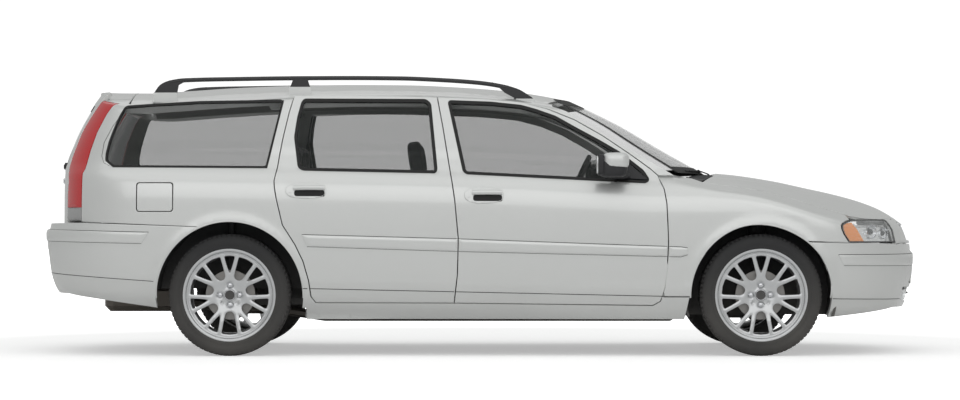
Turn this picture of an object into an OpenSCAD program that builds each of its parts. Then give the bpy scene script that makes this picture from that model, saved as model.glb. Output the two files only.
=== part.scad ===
// Five-door station wagon: a hollow steel body with hung doors, lids and steered wheels.
// +X is the front of the car, +Y its left side, +Z up, with the ground at Z = 0.

/* [Overall] */
// Length over both bumpers
body_length = 4710; // [4300:10:5700]
// Width over the side mouldings, without the mirrors
body_width = 1804; // [1500:4:2170]
// Height to the top of the roof rails
body_height = 1468; // [1400:4:1760]
// Distance between the front and rear axles
wheelbase = 2755; // [2600:5:3000]
// Distance from the front axle to the front bumper
front_overhang = 898; // [820:2:960]
// Distance between the middles of two opposite tyres
track = 1556; // [1500:2:1600]

/* [Panels] */
// Open gap between two outer panels
shut_gap = 6.5; // [5.5:0.5:10]
// Thickness of a fixed outer panel
skin = 14; // [10:1:18]
// Thickness of the thin rim round a door
hem = 6; // [4:1:8]
// Depth of a door behind its outer face, without its trim
door_depth = 38; // [30:1:46]
// Depth of a door with its trim
door_trim_depth = 92; // [80:1:100]
// Depth of the pillar frame's outer face behind the body's outer face
frame_depth = 77; // [74:1:84]
// Thickness of the pillar frame
frame_wall = 34; // [24:1:44]
// Thickness of the window glass
glass = 5; // [4:0.5:7]

/* [Wheels] */
// Radius of the tyre
tyre_radius = 316; // [290:1:330]
// Width of the tyre
tyre_width = 212; // [185:1:225]
// Radius of the rim's edge
rim_radius = 240; // [215:1:246]
// Radius of the seat that holds the tyre
seat_radius = 219; // [190:1:224]
// Gap between the tyre and the front wheel arch
front_arch_gap = 51; // [45:1:60]
// Gap between the tyre and the rear wheel arch
rear_arch_gap = 66; // [50:1:70]
// Number of forked spokes
fork_count = 7; // [5:1:9]
// Radius of the circle that the wheel nuts lie on
nut_circle_radius = 51; // [46:1:58]
// Radius of a brake disc
disc_radius = 150; // [130:1:160]

/* [Joints] */
// Radius of a door's hinge pin
hinge_pin_radius = 4; // [3:0.5:5]
// Radius of the spindle that a wheel turns on
spindle_radius = 24; // [18:1:30]
// Radius of the ball stud that a front knuckle turns on
stud_radius = 9; // [7:1:12]
// Free play between a pin or spindle and its bore
running_gap = 0.05; // [0.03:0.01:0.09]
// Distance of a door's hinge behind its front edge
hinge_setback = 60; // [50:1:70]

/* [Hidden] */
$fn = 48;
seat_gap = 0.3;
past = 3000;

// Stations along the car. Shapes are drawn on a base car, then carried to this car's sizes.
front_axle = body_length / 2 - front_overhang;
rear_axle = front_axle - wheelbase;
base_front_axle = 1457;
base_rear_axle = -1298;
base_end = 2355;
function px(x) = lookup(x, [
  [-base_end - past, -body_length / 2 - past], [-base_end, -body_length / 2],
  [base_rear_axle, rear_axle], [base_front_axle, front_axle],
  [base_end, body_length / 2], [base_end + past, body_length / 2 + past]]);
function py(y) = y * body_width / 1804;
function pz(z) = z * body_height / 1468;
function map_xz(points) = [for (p = points) [px(p[0]), pz(p[1])]];
function map_xy(points) = [for (p = points) [px(p[0]), py(p[1])]];
function map_yz(points) = [for (p = points) [py(p[0]), pz(p[1])]];

// Half width of the body against height, where the body is widest
side_profile = [[190, 800], [250, 845], [300, 868], [420, 891], [620, 898], [790, 895],
  [850, 888], [900, 873], [935, 850], [955, 826], [975, 805], [1100, 757], [1200, 715],
  [1300, 667], [1345, 640], [1385, 604], [1420, 560], [1460, 500]];
// Front and rear ends on the centreline against height
nose_profile = [[190, 2235], [231, 2297], [281, 2322], [343, 2337], [424, 2352], [485, 2355],
  [525, 2355], [545, 2341], [576, 2337], [627, 2322], [678, 2297], [703, 2266], [760, 2240]];
tail_profile = [[600, -2264], [970, -2262], [1130, -2213], [1334, -2104], [1395, -2062],
  [1460, -2030]];
rear_bumper_profile = [[190, -2200], [294, -2247], [312, -2282], [351, -2311], [420, -2334],
  [509, -2347], [586, -2355], [640, -2355], [668, -2336]];
belt_line = [[-1908, 987], [-919, 971], [-68, 952], [859, 905]];
roof_crown = [[-2100, 1396], [-1763, 1394], [-1620, 1403], [-1296, 1424], [-1000, 1435],
  [-700, 1440], [-400, 1438], [-100, 1425], [100, 1410], [281, 1388], [389, 1369], [497, 1345],
  [700, 1290]];
bonnet_crown = [[1000, 990], [1281, 957], [1341, 955], [1585, 916], [1748, 881], [1890, 850],
  [2022, 815], [2134, 774], [2225, 724], [2266, 703], [2400, 620]];
screen_profile = [[900, 1290], [965, 1200], [986, 1164], [1040, 1066], [1119, 929], [1217, 762],
  [1285, 625], [1345, 497], [1400, 360], [1470, 150]];
corner_start = [1000, -900];
front_corner = [6, 2];
rear_corner = [8, 2.5];
full_half_width = 902;

function belt(x) = lookup(x, belt_line);
// Share of the full half width that is left at station x, between the ends xf and xr
function end_share(x, xf, xr) =
  x > corner_start[0]
    ? pow(max(0, 1 - pow((x - corner_start[0]) / (xf - corner_start[0]), front_corner[0])),
        1 / front_corner[1])
    : x < corner_start[1]
      ? pow(max(0, 1 - pow((x - corner_start[1]) / (xr - corner_start[1]), rear_corner[0])),
          1 / rear_corner[1])
      : 1;
function half_width(x, z) = lookup(z + 962 - belt(x), side_profile);
// A ring of points round the car at height z, a given depth inside the outer face
side_stations = [for (i = [0 : 15]) -1900 + i * 260];
inner_stations = [for (i = [0 : 13]) -1900 + i * 300];
end_shares = [0.8, 0.68, 0.54, 0.38, 0.2, 0];
function half_ring(z, depth, xf, xr, stations) = concat(
  [for (k = [len(end_shares) - 1 : -1 : 0])
    let (s = end_shares[k],
      x = corner_start[1] + (xr - corner_start[1]) * pow(1 - pow(s, rear_corner[1]), 1 / rear_corner[0]))
    [x, half_width(x, z) * s]],
  [for (x = stations) [x, half_width(x, z) * end_share(x, xf, xr)]],
  [for (s = end_shares)
    let (past_bend = pow(1 - pow(s, front_corner[1]), 1 / front_corner[0]))
    let (x = corner_start[0] + (xf - corner_start[0]) * past_bend)
    [x, half_width(x, z) * s]]);
function shrink(point, depth, xf, xr) =
  [px(point[0]) - depth * max(0, (point[0] - corner_start[0]) / (xf - corner_start[0]))
     + depth * max(0, (point[0] - corner_start[1]) / (xr - corner_start[1])),
   py(point[1]) * (1 - depth / py(full_half_width - 60))];
function ring(z, depth, tail, stations) =
  let (xf = lookup(z, nose_profile), xr = lookup(z, tail),
    half = [for (p = half_ring(z, depth, xf, xr, stations)) shrink(p, depth, xf, xr)])
  concat([for (p = half) [p[0], -p[1], pz(z)]],
    [for (k = [len(half) - 2 : -1 : 1]) [half[k][0], half[k][1], pz(z)]]);

// A closed solid through rings that turn anticlockwise seen from the last one
module loft(rings) {
  count = len(rings[0]);
  last = (len(rings) - 1) * count;
  polyhedron(
    points = [for (r = rings) each r],
    faces = concat(
      [[for (i = [0 : count - 1]) i]],
      [for (j = [0 : len(rings) - 2], i = [0 : count - 1])
        [j * count + i, (j + 1) * count + (i + 1) % count, j * count + (i + 1) % count]],
      [for (j = [0 : len(rings) - 2], i = [0 : count - 1])
        [j * count + i, (j + 1) * count + i, (j + 1) * count + (i + 1) % count]],
      [[for (i = [count - 1 : -1 : 0]) last + i]]),
    convexity = 8);
}

fine_levels = [190, 225, 262, 300, 360, 420, 520, 620, 700, 790, 835, 870, 900, 922, 942, 960,
  980, 1040, 1100, 1170, 1240, 1300, 1345, 1385, 1420, 1450];
coarse_levels = [190, 250, 300, 420, 620, 790, 870, 920, 950, 980, 1100, 1240, 1345, 1400, 1450];
module hull_rings(depth, tail) {
  fine = depth < 20;
  loft([for (z = fine ? fine_levels : coarse_levels)
    ring(z, depth, tail, fine ? side_stations : inner_stations)]);
}

// Heights of the bonnet and the roof across the car
function bonnet_height(x, y) = lookup(x, bonnet_crown) - 176 * pow(abs(y) / 870, 2.6);
function roof_height(x, y) =
  lookup(x, roof_crown) - 78 * pow(abs(y) / 600, 2.3) * lookup(x, [[-2100, 1.1], [-1000, 1], [400, 0.8]]);
function screen_station(y, z) = lookup(z, screen_profile) - 190 * pow(abs(y) / 740, 2);

across = [-950, -860, -770, -680, -600, -510, -400, -270, -130, 130, 270, 400, 510, 600, 680,
  770, 860, 950];
module top_sheet(stations, floor_z, depth, roof) {
  loft([for (x = stations) concat(
    [[px(x), py(across[0]), floor_z]],
    [for (y = across) [px(x), py(y), pz(roof ? roof_height(x, y) : bonnet_height(x, y)) - depth]],
    [[px(x), py(across[len(across) - 1]), floor_z]])]);
}
bonnet_stations = [2400, 2266, 2225, 2134, 2022, 1890, 1748, 1585, 1440, 1300, 1150, 1000];
roof_stations = [1250, 700, 497, 389, 281, 100, -100, -400, -700, -1000, -1296, -1620, -1763,
  -2100, -2500];
screen_levels = [900, 965, 1010, 1080, 1160, 1240, 1300, 1345, 1400, 1470];
screen_across = [for (i = [-8 : 8]) i * 118];
module screen_front(depth) {
  loft([for (z = screen_levels) concat(
    [[px(-2400), py(screen_across[0]), pz(z)]],
    [for (y = screen_across) [px(screen_station(y, z)) - depth, py(y), pz(z)]],
    [[px(-2400), py(-screen_across[0]), pz(z)]])]);
}

// The whole car's outer face as one solid, moved inwards by a depth
module envelope(depth, tail = tail_profile) {
  intersection() {
    hull_rings(depth, tail);
    union() {
      top_sheet(bonnet_stations, 0, depth, false);
      intersection() {
        top_sheet(roof_stations, 0, depth, true);
        union() {
          screen_front(depth * 1.3);
          slab([[-2400, 0], [1200, 0], [1200, 930], [-2400, 930]], -1000, 1000);
        }
      }
    }
  }
}
// The wall between two depths
module wall(outer, inner, tail = tail_profile) {
  difference() {
    envelope(outer, tail);
    envelope(inner, tail);
  }
}
// A curved panel that is kept as one smooth mesh
module panel() {
  resize([0, 0, 0]) children();
}

// Prisms on an outline seen from the side, from above and from the rear
module slab(points, y0 = -past, y1 = past) {
  slab_of(y0, y1) polygon(map_xz(points));
}
module slab_of(y0 = -past, y1 = past) {
  translate([0, py(y1), 0]) rotate([90, 0, 0]) linear_extrude(py(y1) - py(y0)) children();
}
module plan(points, z0 = 0, z1 = 2000) {
  translate([0, 0, z0]) linear_extrude(z1 - z0) polygon(map_xy(points));
}
module rear_view(points, x0, x1) {
  translate([px(x0), 0, 0]) rotate([90, 0, 90]) linear_extrude(px(x1) - px(x0))
    polygon(map_yz(points));
}
module block(low, high) {
  translate([px(low[0]), py(low[1]), pz(low[2])])
    cube([px(high[0]) - px(low[0]), py(high[1]) - py(low[1]), pz(high[2]) - pz(low[2])]);
}
module on_both_sides() {
  children();
  mirror([0, 1, 0]) children();
}
module rod_y(radius, y0, y1, x = 0, z = 0) {
  translate([x, y1, z]) rotate([90, 0, 0]) cylinder(r = radius, h = y1 - y0);
}
module rod_z(radius, z0, z1, x = 0, y = 0) {
  translate([x, y, z0]) cylinder(r = radius, h = z1 - z0);
}

// Shut lines of the doors, seen from the side
door_split = [[-225, 1353], [-194, 1191], [-163, 1004], [-145, 903], [-131, 809], [-112, 607],
  [-117, 422], [-134, 274]];
front_door_outline = concat(
  [[895, 262], [934, 284], [958, 361], [970, 477], [975, 592], [971, 706], [967, 790],
    [955, 865], [925, 939], [886, 973], [776, 1054], [637, 1149], [497, 1230], [356, 1288],
    [215, 1326], [0, 1345]], door_split);
rear_door_outline = concat(
  [for (k = [len(door_split) - 1 : -1 : 0]) door_split[k]],
  [[-421, 1359], [-685, 1362], [-975, 1360], [-1000, 1267], [-1027, 1140], [-1045, 1038],
    [-1053, 979], [-1067, 908], [-1064, 870], [-1053, 809], [-1022, 679], [-958, 579],
    [-916, 493], [-887, 393], [-875, 308], [-851, 276]]);
front_window = [[-161, 1327], [54, 1319], [214, 1302], [289, 1281], [393, 1244], [494, 1186],
  [625, 1114], [728, 1053], [847, 958], [873, 916], [859, 905], [-68, 952], [-82, 964]];
rear_window = [[-919, 1335], [-286, 1333], [-265, 1314], [-230, 971], [-235, 957], [-919, 971],
  [-940, 984], [-962, 1140], [-949, 1242], [-930, 1322]];
quarter_window = [[-1862, 1300], [-1470, 1323], [-1035, 1330], [-1112, 982], [-1908, 987],
  [-1950, 1020], [-1950, 1054], [-1937, 1115], [-1915, 1182], [-1890, 1248]];
tail_lamp_outline = [[-2073, 698], [-2072, 956], [-2060, 977], [-2040, 1071], [-2017, 1166],
  [-1970, 1261], [-1927, 1315], [-2500, 1315], [-2500, 698]];
headlamp_outline = [[1886, 679], [1907, 698], [1925, 760], [2500, 760], [2500, 584], [1921, 584],
  [1897, 630]];
flap_outline = [[-1778, 749], [-1590, 749], [-1590, 899], [-1778, 899]];
pillar_line = [[1008, 939], [381, 1320]];
bonnet_outline = [[1165, -738], [1300, -752], [1500, -752], [1700, -738], [1900, -690],
  [2050, -610], [2150, -520], [2230, -410], [2500, -370], [2500, 370], [2230, 410],
  [2150, 520], [2050, 610], [1900, 690], [1700, 738], [1500, 752], [1300, 752], [1165, 738],
  [1235, 500], [1270, 260], [1281, 0], [1270, -260], [1235, -500]];
roof_edge = 572;
hatch_line = -1846;
hatch_outline = [[-648, 600], [-645, 910], [-584, 1003], [-532, 1172], [-500, 1337],
  [-480, 1480], [480, 1480], [500, 1337], [532, 1172], [584, 1003], [645, 910], [648, 600]];
bumper_seam_front = [[1640, 592], [1921, 584], [2203, 577], [2500, 574]];
bumper_top_rear = [[-1470, 672], [-2072, 696], [-2500, 697]];
floor_low = 205;
floor_high = 245;
floor_half = 735;

front_arch_radius = tyre_radius + front_arch_gap;
rear_arch_radius = tyre_radius + rear_arch_gap;
wheel_y = track / 2;
tyre_inner_face = wheel_y - tyre_width / 2;
liner_wall = 12;
front_liner_radius = front_arch_radius + 30;
rear_liner_radius = rear_arch_radius + 10;
front_liner_inner = 490;
rear_liner_inner = 600;

module arch_cut(axle, radius) {
  rod_y(radius, -past, past, axle, tyre_radius, $fn = 72);
}
module grown(points, by) {
  offset(delta = by) polygon(map_xz(points));
}

/* Body shell */
// The right half of the car, from a distance off the centreline
module right_half(from = 0) {
  translate([-past, -past, -10]) cube([2 * past, past - from, 2000]);
}
side_front_edge = [[1054, 190], [1068, 304], [950, 304], [950, 400], [900, 940]];
side_upper = concat(pillar_line, [[340, 1400]]);
rear_quarter_start = -1060;
quarter_wall = 40;
flap_depth = 66;
module pillar_frame() {
  intersection() {
    wall(frame_depth, frame_depth + frame_wall);
    slab_of() difference() {
      union() {
        grown(front_door_outline, shut_gap);
        grown(rear_door_outline, shut_gap);
      }
      grown(front_door_outline, -46);
      grown(rear_door_outline, -46);
    }
  }
}
module side_skin() {
  difference() {
    union() {
      intersection() {
        wall(0, frame_depth + frame_wall);
        slab(concat(side_front_edge, side_upper, [[-1120, 1400], [-1060, 900], [-870, 190]]));
      }
      // Front pillar's flange, which carries the windscreen
      intersection() {
        wall(0, frame_depth + frame_wall);
        slab([[975, 947], [366, 1317], [340, 1400], [440, 1400], [1060, 1005], [1025, 955]]);
        screen_front(glass + seat_gap);
      }
      intersection() {
        wall(0, quarter_wall);
        slab([[rear_quarter_start, 190], [rear_quarter_start, 1400], [-2300, 1400],
          [-2300, 190]]);
      }
    }
    slab_of() grown(front_door_outline, shut_gap / 2);
    slab_of() grown(rear_door_outline, shut_gap / 2);
    slab_of() grown(quarter_window, 0.5);
  }
}
// Everything behind the roof that belongs to the tailgate, with the gap round it
module hatch_space(by) {
  translate([-past, 0, 0]) rotate([90, 0, 90]) linear_extrude(past + px(hatch_line) + by)
    offset(delta = by) polygon(map_yz(hatch_outline));
}
// Box behind the fuel flap
pocket_floor = 796;
module flap_pocket() {
  difference() {
    slab_of(-862, -pocket_floor + 6) grown(flap_outline, 12);
    flap_space();
  }
}
module flap_space() {
  slab_of(-920, -pocket_floor) grown(flap_outline, shut_gap / 2);
}
module body_side(with_flap) {
  panel() difference() {
    intersection() {
      union() {
        side_skin();
        pillar_frame();
        if (with_flap) flap_pocket();
      }
      right_half(py(330));
    }
    slab_of() grown(tail_lamp_outline, shut_gap / 2);
    slab(concat(bumper_top_rear, [[-2500, 100], [-1300, 100], [-1300, 600]]));
    arch_cut(rear_axle, rear_arch_radius);
    arch_cut(front_axle, front_arch_radius + 8);
    liner_room();
    if (with_flap) flap_space();
    hatch_space(shut_gap / 2);
    translate([px(hatch_line), -py(roof_edge), pz(1200)]) cube([2 * past, past, 400]);
    translate([-past, -py(floor_half) - seat_gap, 0]) cube([2 * past, past, pz(330)]);
  }
}
module body_sides() {
  color("silver") {
    body_side(true);
    mirror([0, 1, 0]) body_side(false);
  }
}
roof_wall = 26;
hinge_strip = 60;
module roof_panel() {
  color("silver") panel() intersection() {
    wall(0, roof_wall);
    translate([px(hatch_line) + shut_gap / 2, -py(roof_edge) + seat_gap, pz(1240)])
      cube([px(430) - px(hatch_line), 2 * py(roof_edge) - 2 * seat_gap, 400]);
    union() {
      wall(0, 9);
      slab([[430, 1500], [455, 1240], [hatch_line + hinge_strip, 1240],
        [hatch_line + hinge_strip, 1500]]);
    }
  }
}
// Rails run along the roof edge on feet that stand on the roof
rail_y = 548;
rail_line = [[-1705, 1395], [-1655, 1432], [-1560, 1446], [-1264, 1457], [-954, 1463],
  [-684, 1464], [-422, 1461], [-220, 1453], [0, 1436], [110, 1414], [200, 1386], [255, 1350]];
rail_height = 22;
rail_width = 34;
module roof_rails() {
  color("black") panel() on_both_sides() difference() {
    union() {
      slab_of(-rail_y - rail_width / 2, -rail_y + rail_width / 2) {
        offset(r = 4, $fn = 16) offset(delta = -4) polygon(map_xz(concat(
          [for (p = rail_line) [p[0], p[1] + 4]],
          [for (k = [len(rail_line) - 1 : -1 : 0]) [rail_line[k][0], rail_line[k][1] - rail_height]])));
        polygon(map_xz([[-1730, 1290], [-1705, 1399], [-1655, 1430], [-1590, 1430], [-1600, 1290]]));
        polygon(map_xz([[-1006, 1340], [-983, 1452], [-897, 1452], [-903, 1340]]));
        polygon(map_xz([[70, 1290], [90, 1410], [200, 1388], [262, 1345], [275, 1290]]));
      }
    }
    envelope(-seat_gap);
  }
}
module front_fenders() {
  color("silver") panel() on_both_sides() difference() {
    intersection() {
      wall(0, skin);
      right_half(py(300));
      slab([[1061, 190], [1074, 311], [954, 311], [900, 934], [1008, 934], [1060, 990],
        [1200, 990], [2060, 900], [2060, 590], [1930, 590], [1930, 500], [1640, 500], [1640, 190]]);
    }
    slab_of() grown(front_door_outline, shut_gap / 2);
    screen_front(-4);
    liner_room();
    slab_of() grown(headlamp_outline, 3);
    slab(concat(bumper_seam_front, [[2500, 100], [1500, 100], [1500, 592]]));
    plan_grown(bonnet_outline, shut_gap / 2);
    translate([px(900), -py(690), 0]) cube([px(2300) - px(900), py(1380), 2000]);
    arch_cut(front_axle, front_arch_radius);
  }
}
module plan_grown(points, by, z0 = 0, z1 = 2000) {
  translate([0, 0, z0]) linear_extrude(z1 - z0) offset(delta = by) polygon(map_xy(points));
}
bonnet_wall = 24;
bonnet_front_z = 690;
module bonnet() {
  color("silver") panel() difference() {
    intersection() {
      wall(0, bonnet_wall);
      plan_grown(bonnet_outline, -shut_gap / 2);
      slab([[1100, 720], [2180, 640], [2230, bonnet_front_z], [2500, bonnet_front_z], [2500, 1100],
        [1100, 1100]]);
    }
    slab_of() grown(headlamp_outline, 3);
  }
  color("silver") on_both_sides() bonnet_strap();
}
lamp_depth = 120;
grille_half = 372;
lamp_flange = 7;
module headlamps() {
  color("white") panel() on_both_sides() difference() {
    intersection() {
      union() {
        intersection() {
          wall(0, lamp_depth);
          slab_of() grown(headlamp_outline, -1);
        }
        // Flange that sits behind the fender
        intersection() {
          wall(skin + seat_gap, skin + 12);
          slab_of() grown(headlamp_outline, lamp_flange);
          block([1850, -1000, 600], [2060, 1000, 900]);
        }
      }
      right_half(py(grille_half) + seat_gap);
    }
    plan_grown(bonnet_outline, shut_gap / 2, pz(650));
  }
}
module grille() {
  color("black") panel() intersection() {
    wall(4, 46);
    slab([[2100, 590], [2200, 536], [2500, 536], [2500, bonnet_front_z - 7], [2100, bonnet_front_z - 7]]);
    translate([0, -py(grille_half), 0]) cube([past, 2 * py(grille_half), 2000]);
  }
}
bumper_wall = 34;
module front_bumper() {
  color("silver") panel() difference() {
    intersection() {
      wall(0, bumper_wall);
      slab([[1640, 190], [1640, 588], [1921, 580], [2120, 577], [2203, 573], [2230, 531],
        [2500, 531], [2500, 190]]);
    }
    arch_cut(front_axle, front_arch_radius);
    liner_room();
    // Lower air inlet, divided in three
    for (y = [-310, 0, 310])
      translate([px(2150), py(y - 140), pz(240)]) cube([400, py(280), pz(90)]);
    for (y = [-1, 1])
      translate([px(2100), py(y * 600), pz(309)]) rotate([0, 90, 0]) cylinder(r = 34, h = 400, $fn = 24);
    translate([px(2180), py(towing_eye[1]), pz(towing_eye[2])])
      rotate([0, 90, 0]) cylinder(r = 20, h = 400, $fn = 24);
  }
}
module rear_bumper() {
  color("silver") panel() difference() {
    intersection() {
      wall(0, bumper_wall, rear_bumper_profile);
      slab([[-1400, 230], [-1400, 636], [-1470, 667], [-2072, 690], [-2500, 691], [-2500, 230]]);
    }
    arch_cut(rear_axle, rear_arch_radius);
    liner_room();
    translate([-past, -past, pz(668)]) cube([px(-2275) + past, 2 * past, 400]);
  }
}
lamp_wall = 70;
module tail_lamps() {
  color("red") panel() on_both_sides() difference() {
    intersection() {
      union() {
        intersection() {
          wall(0, lamp_wall);
          slab_of() grown(tail_lamp_outline, -1);
        }
        // Flange that sits behind the quarter panel
        intersection() {
          wall(quarter_wall + seat_gap, lamp_wall);
          slab_of() grown(tail_lamp_outline, lamp_flange);
          block([-2200, -1000, 720], [-2000, 1000, 1180]);
        }
      }
      right_half(py(300));
    }
    hatch_space(shut_gap / 2);
    translate([-past, -past, 0]) cube([2 * past, 2 * past, pz(702)]);
  }
}
// Windscreen between the front pillars, and the two quarter windows
module fixed_glass() {
  color("dimgray") panel() {
    intersection() {
      difference() {
        screen_front(0);
        screen_front(glass);
      }
      envelope(-5);
      slab([[1300, 960], [1130, 960], [430, 1500], [460, 1240], [1000, 946], [1300, 946]]);
      rear_view([[-760, 946], [-590, 1345], [590, 1345], [760, 946]], 300, 1400);
    }
    on_both_sides() intersection() {
      wall(2, 2 + glass);
      slab_of() grown(quarter_window, 0);
      right_half(py(400));
    }
  }
}
module door_glass(outline) {
  color("dimgray") panel() intersection() {
    wall(4, 4 + glass);
    slab_of() grown(outline, -seat_gap);
    right_half(py(400));
  }
}

// Doors: a thin rim, the door's own box and the trim inside the pillar frame
front_hinge_x = px(971) - shut_gap / 2 - hinge_setback;
rear_hinge_x = px(-112) - shut_gap / 2 - hinge_setback;
door_hinge_y = py(898) - 20;
door_hinge_z = [pz(470), pz(700)];
knuckle_radius = hinge_pin_radius + 3.5;
box_setback = 20;
module door(outline, window, hinge_x, trim_top, rear_rebate) {
  color("silver") {
    panel() difference() {
      intersection() {
        union() {
          intersection() {
            wall(0, hem);
            slab_of() grown(outline, -shut_gap / 2);
          }
          intersection() {
            wall(hem - 1, door_depth);
            slab_of() intersection() {
              grown(outline, -shut_gap / 2 - 6);
              translate([rear_rebate, 0]) grown(outline, -shut_gap / 2);
            }
          }
          intersection() {
            wall(door_depth - 1, door_trim_depth);
            slab_of() grown(outline, -58);
            slab(trim_top);
          }
        }
        right_half(py(roof_edge) + shut_gap);
      }
      slab_of() grown(window, 0);
      // Room for the hinges behind the front edge
      difference() {
        translate([hinge_x - box_setback, -past, 0]) cube([past, past, pz(880)]);
        difference() {
          envelope(-10);
          envelope(hem);
        }
      }
    }
    for (z = door_hinge_z)
      translate([hinge_x, -door_hinge_y, z]) door_knuckle();
  }
}
module door_knuckle() {
  difference() {
    union() {
      cylinder(r = knuckle_radius, h = 28, center = true);
      translate([-box_setback + seat_gap, -4, -14])
        cube([box_setback - seat_gap, 14, 28]);
    }
    cylinder(r = hinge_pin_radius + running_gap, h = 40, center = true);
  }
}
module front_door_right() {
  door(front_door_outline, front_window, front_hinge_x,
    [[-1200, 0], [1100, 0], [1100, 872], [-1200, 925]], 12);
}
module front_door_left() { mirror([0, 1, 0]) front_door_right(); }
module rear_door_right() {
  door(rear_door_outline, rear_window, rear_hinge_x,
    [[-1200, 0], [1100, 0], [1100, 925], [-1200, 938]], 28);
}
module rear_door_left() { mirror([0, 1, 0]) rear_door_right(); }
module front_glass_right() { door_glass(front_window); }
module front_glass_left() { mirror([0, 1, 0]) front_glass_right(); }
module rear_glass_right() { door_glass(rear_window); }
module rear_glass_left() { mirror([0, 1, 0]) rear_glass_right(); }

// Distance of a wall's outer face from the centreline
function face_y(x, z, depth) = py(half_width(x, z)) * (1 - depth / py(full_half_width - 60));

// Mirrors stand on the corner of the front door's window
module mirror_right() {
  color("silver") panel() {
    hull() {
      for (x = [640, 700], z = [962, 1018])
        translate([px(x), -py(935), pz(z)]) sphere(r = 40, $fn = 12);
      for (x = [655, 735], z = [965, 1020])
        translate([px(x), -py(966), pz(z)]) sphere(r = 34, $fn = 12);
    }
    difference() {
      hull() {
        translate([px(720), -py(905), pz(945)]) cube([40, 30, 18]);
        translate([px(790), -py(850), pz(885)]) cube([44, 60, 50]);
      }
      envelope(-seat_gap);
    }
  }
}
module mirror_left() { mirror([0, 1, 0]) mirror_right(); }

// Tailgate, hung under the rear edge of the roof
tailgate_wall = 66;
tailgate_hinge_x = px(hatch_line) + 26;
tailgate_hinge_z = pz(1366);
tailgate_hinge_y = 200;
// The box behind the outer skin is narrower, so that it swings out past the lamps
tailgate_box_outline = [[-610, 600], [-610, 830], [-566, 913], [-514, 1082], [-482, 1247],
  [-462, 1300], [-450, 1480], [450, 1480], [462, 1300], [482, 1247], [514, 1082], [566, 913],
  [610, 830], [610, 600]];
tailgate_top_gap = 3;
rear_screen = [[-520, 1010], [-478, 1160], [-440, 1318], [440, 1318], [478, 1160], [520, 1010],
  [480, 992], [-480, 992]];
module tailgate() {
  color("silver") {
    panel() difference() {
      union() {
        intersection() {
          wall(0, hem);
          hatch_space(-shut_gap / 2);
        }
        intersection() {
          wall(hem - 1, tailgate_wall);
          rear_view(tailgate_box_outline, -2400, hatch_line - 51);
        }
      }
      translate([-past, -past, 0]) cube([2 * past, 2 * past, pz(703)]);
      translate([px(hatch_line) - shut_gap / 2 - tailgate_top_gap, -past, 0])
        cube([past, 2 * past, 2000]);
      rear_view(rear_screen, -2400, -1960);
    }
    on_both_sides() translate([tailgate_hinge_x, tailgate_hinge_y, tailgate_hinge_z])
      tailgate_strap();
  }
}
strap_drop = 38;
strap_width = 30;
module tailgate_strap() {
  reach = tailgate_hinge_x - px(hatch_line) + 51 - seat_gap;
  rotate([90, 0, 0]) difference() {
    union() {
      cylinder(r = 7, h = strap_width, center = true);
      translate([-6, -strap_drop, -strap_width / 2]) cube([12, strap_drop, strap_width]);
      translate([-reach, -strap_drop, -strap_width / 2]) cube([reach, 10, strap_width]);
    }
    cylinder(r = hinge_pin_radius + running_gap, h = 2 * strap_width, center = true);
  }
}
module tailgate_glass() {
  color("dimgray") panel() intersection() {
    wall(2, 2 + glass);
    translate([px(-2400), 0, 0]) rotate([90, 0, 90]) linear_extrude(px(-1960) - px(-2400))
      offset(delta = -seat_gap) polygon(map_yz(rear_screen));
  }
}

// Fuel flap, hung at its front edge
flap_hinge_x = px(-1590) - shut_gap / 2 - 44;
flap_hinge_y = face_y(-1612, 824, 9);
flap_hinge_z = pz(824);
flap_wall = 5;
flap_arm = 7.2;
module fuel_flap() {
  color("silver") {
    panel() intersection() {
      wall(0, flap_wall);
      slab_of(-920, -850) offset(r = 16, $fn = 24) offset(delta = -16)
        grown(flap_outline, -shut_gap / 2);
    }
    translate([flap_hinge_x, -flap_hinge_y + 9, flap_hinge_z]) difference() {
      union() {
        cylinder(r = 5, h = 40, center = true);
        translate([-26, -flap_arm, -20]) cube([26, flap_arm, 40]);
      }
      cylinder(r = 2 + running_gap, h = 60, center = true);
    }
  }
}

// Bonnet hinges stand ahead of the scuttle, low at its corners
bonnet_hinge = [px(1125), py(700), pz(868)];
bonnet_strap_reach = 84;
bonnet_strap_top = pz(bonnet_height(1209, 706)) - bonnet_wall - bonnet_hinge[2] - 2 * seat_gap;
module bonnet_strap() {
  translate([bonnet_hinge[0], -bonnet_hinge[1], bonnet_hinge[2]]) rotate([90, 0, 0]) difference() {
    union() {
      cylinder(r = 9, h = 12, center = true);
      linear_extrude(12, center = true)
        polygon([[0, 9], [0, -9], [40, -50], [bonnet_strap_reach, -50],
          [bonnet_strap_reach, bonnet_strap_top], [46, -36]]);
    }
    cylinder(r = hinge_pin_radius + running_gap, h = 40, center = true);
  }
}

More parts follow.
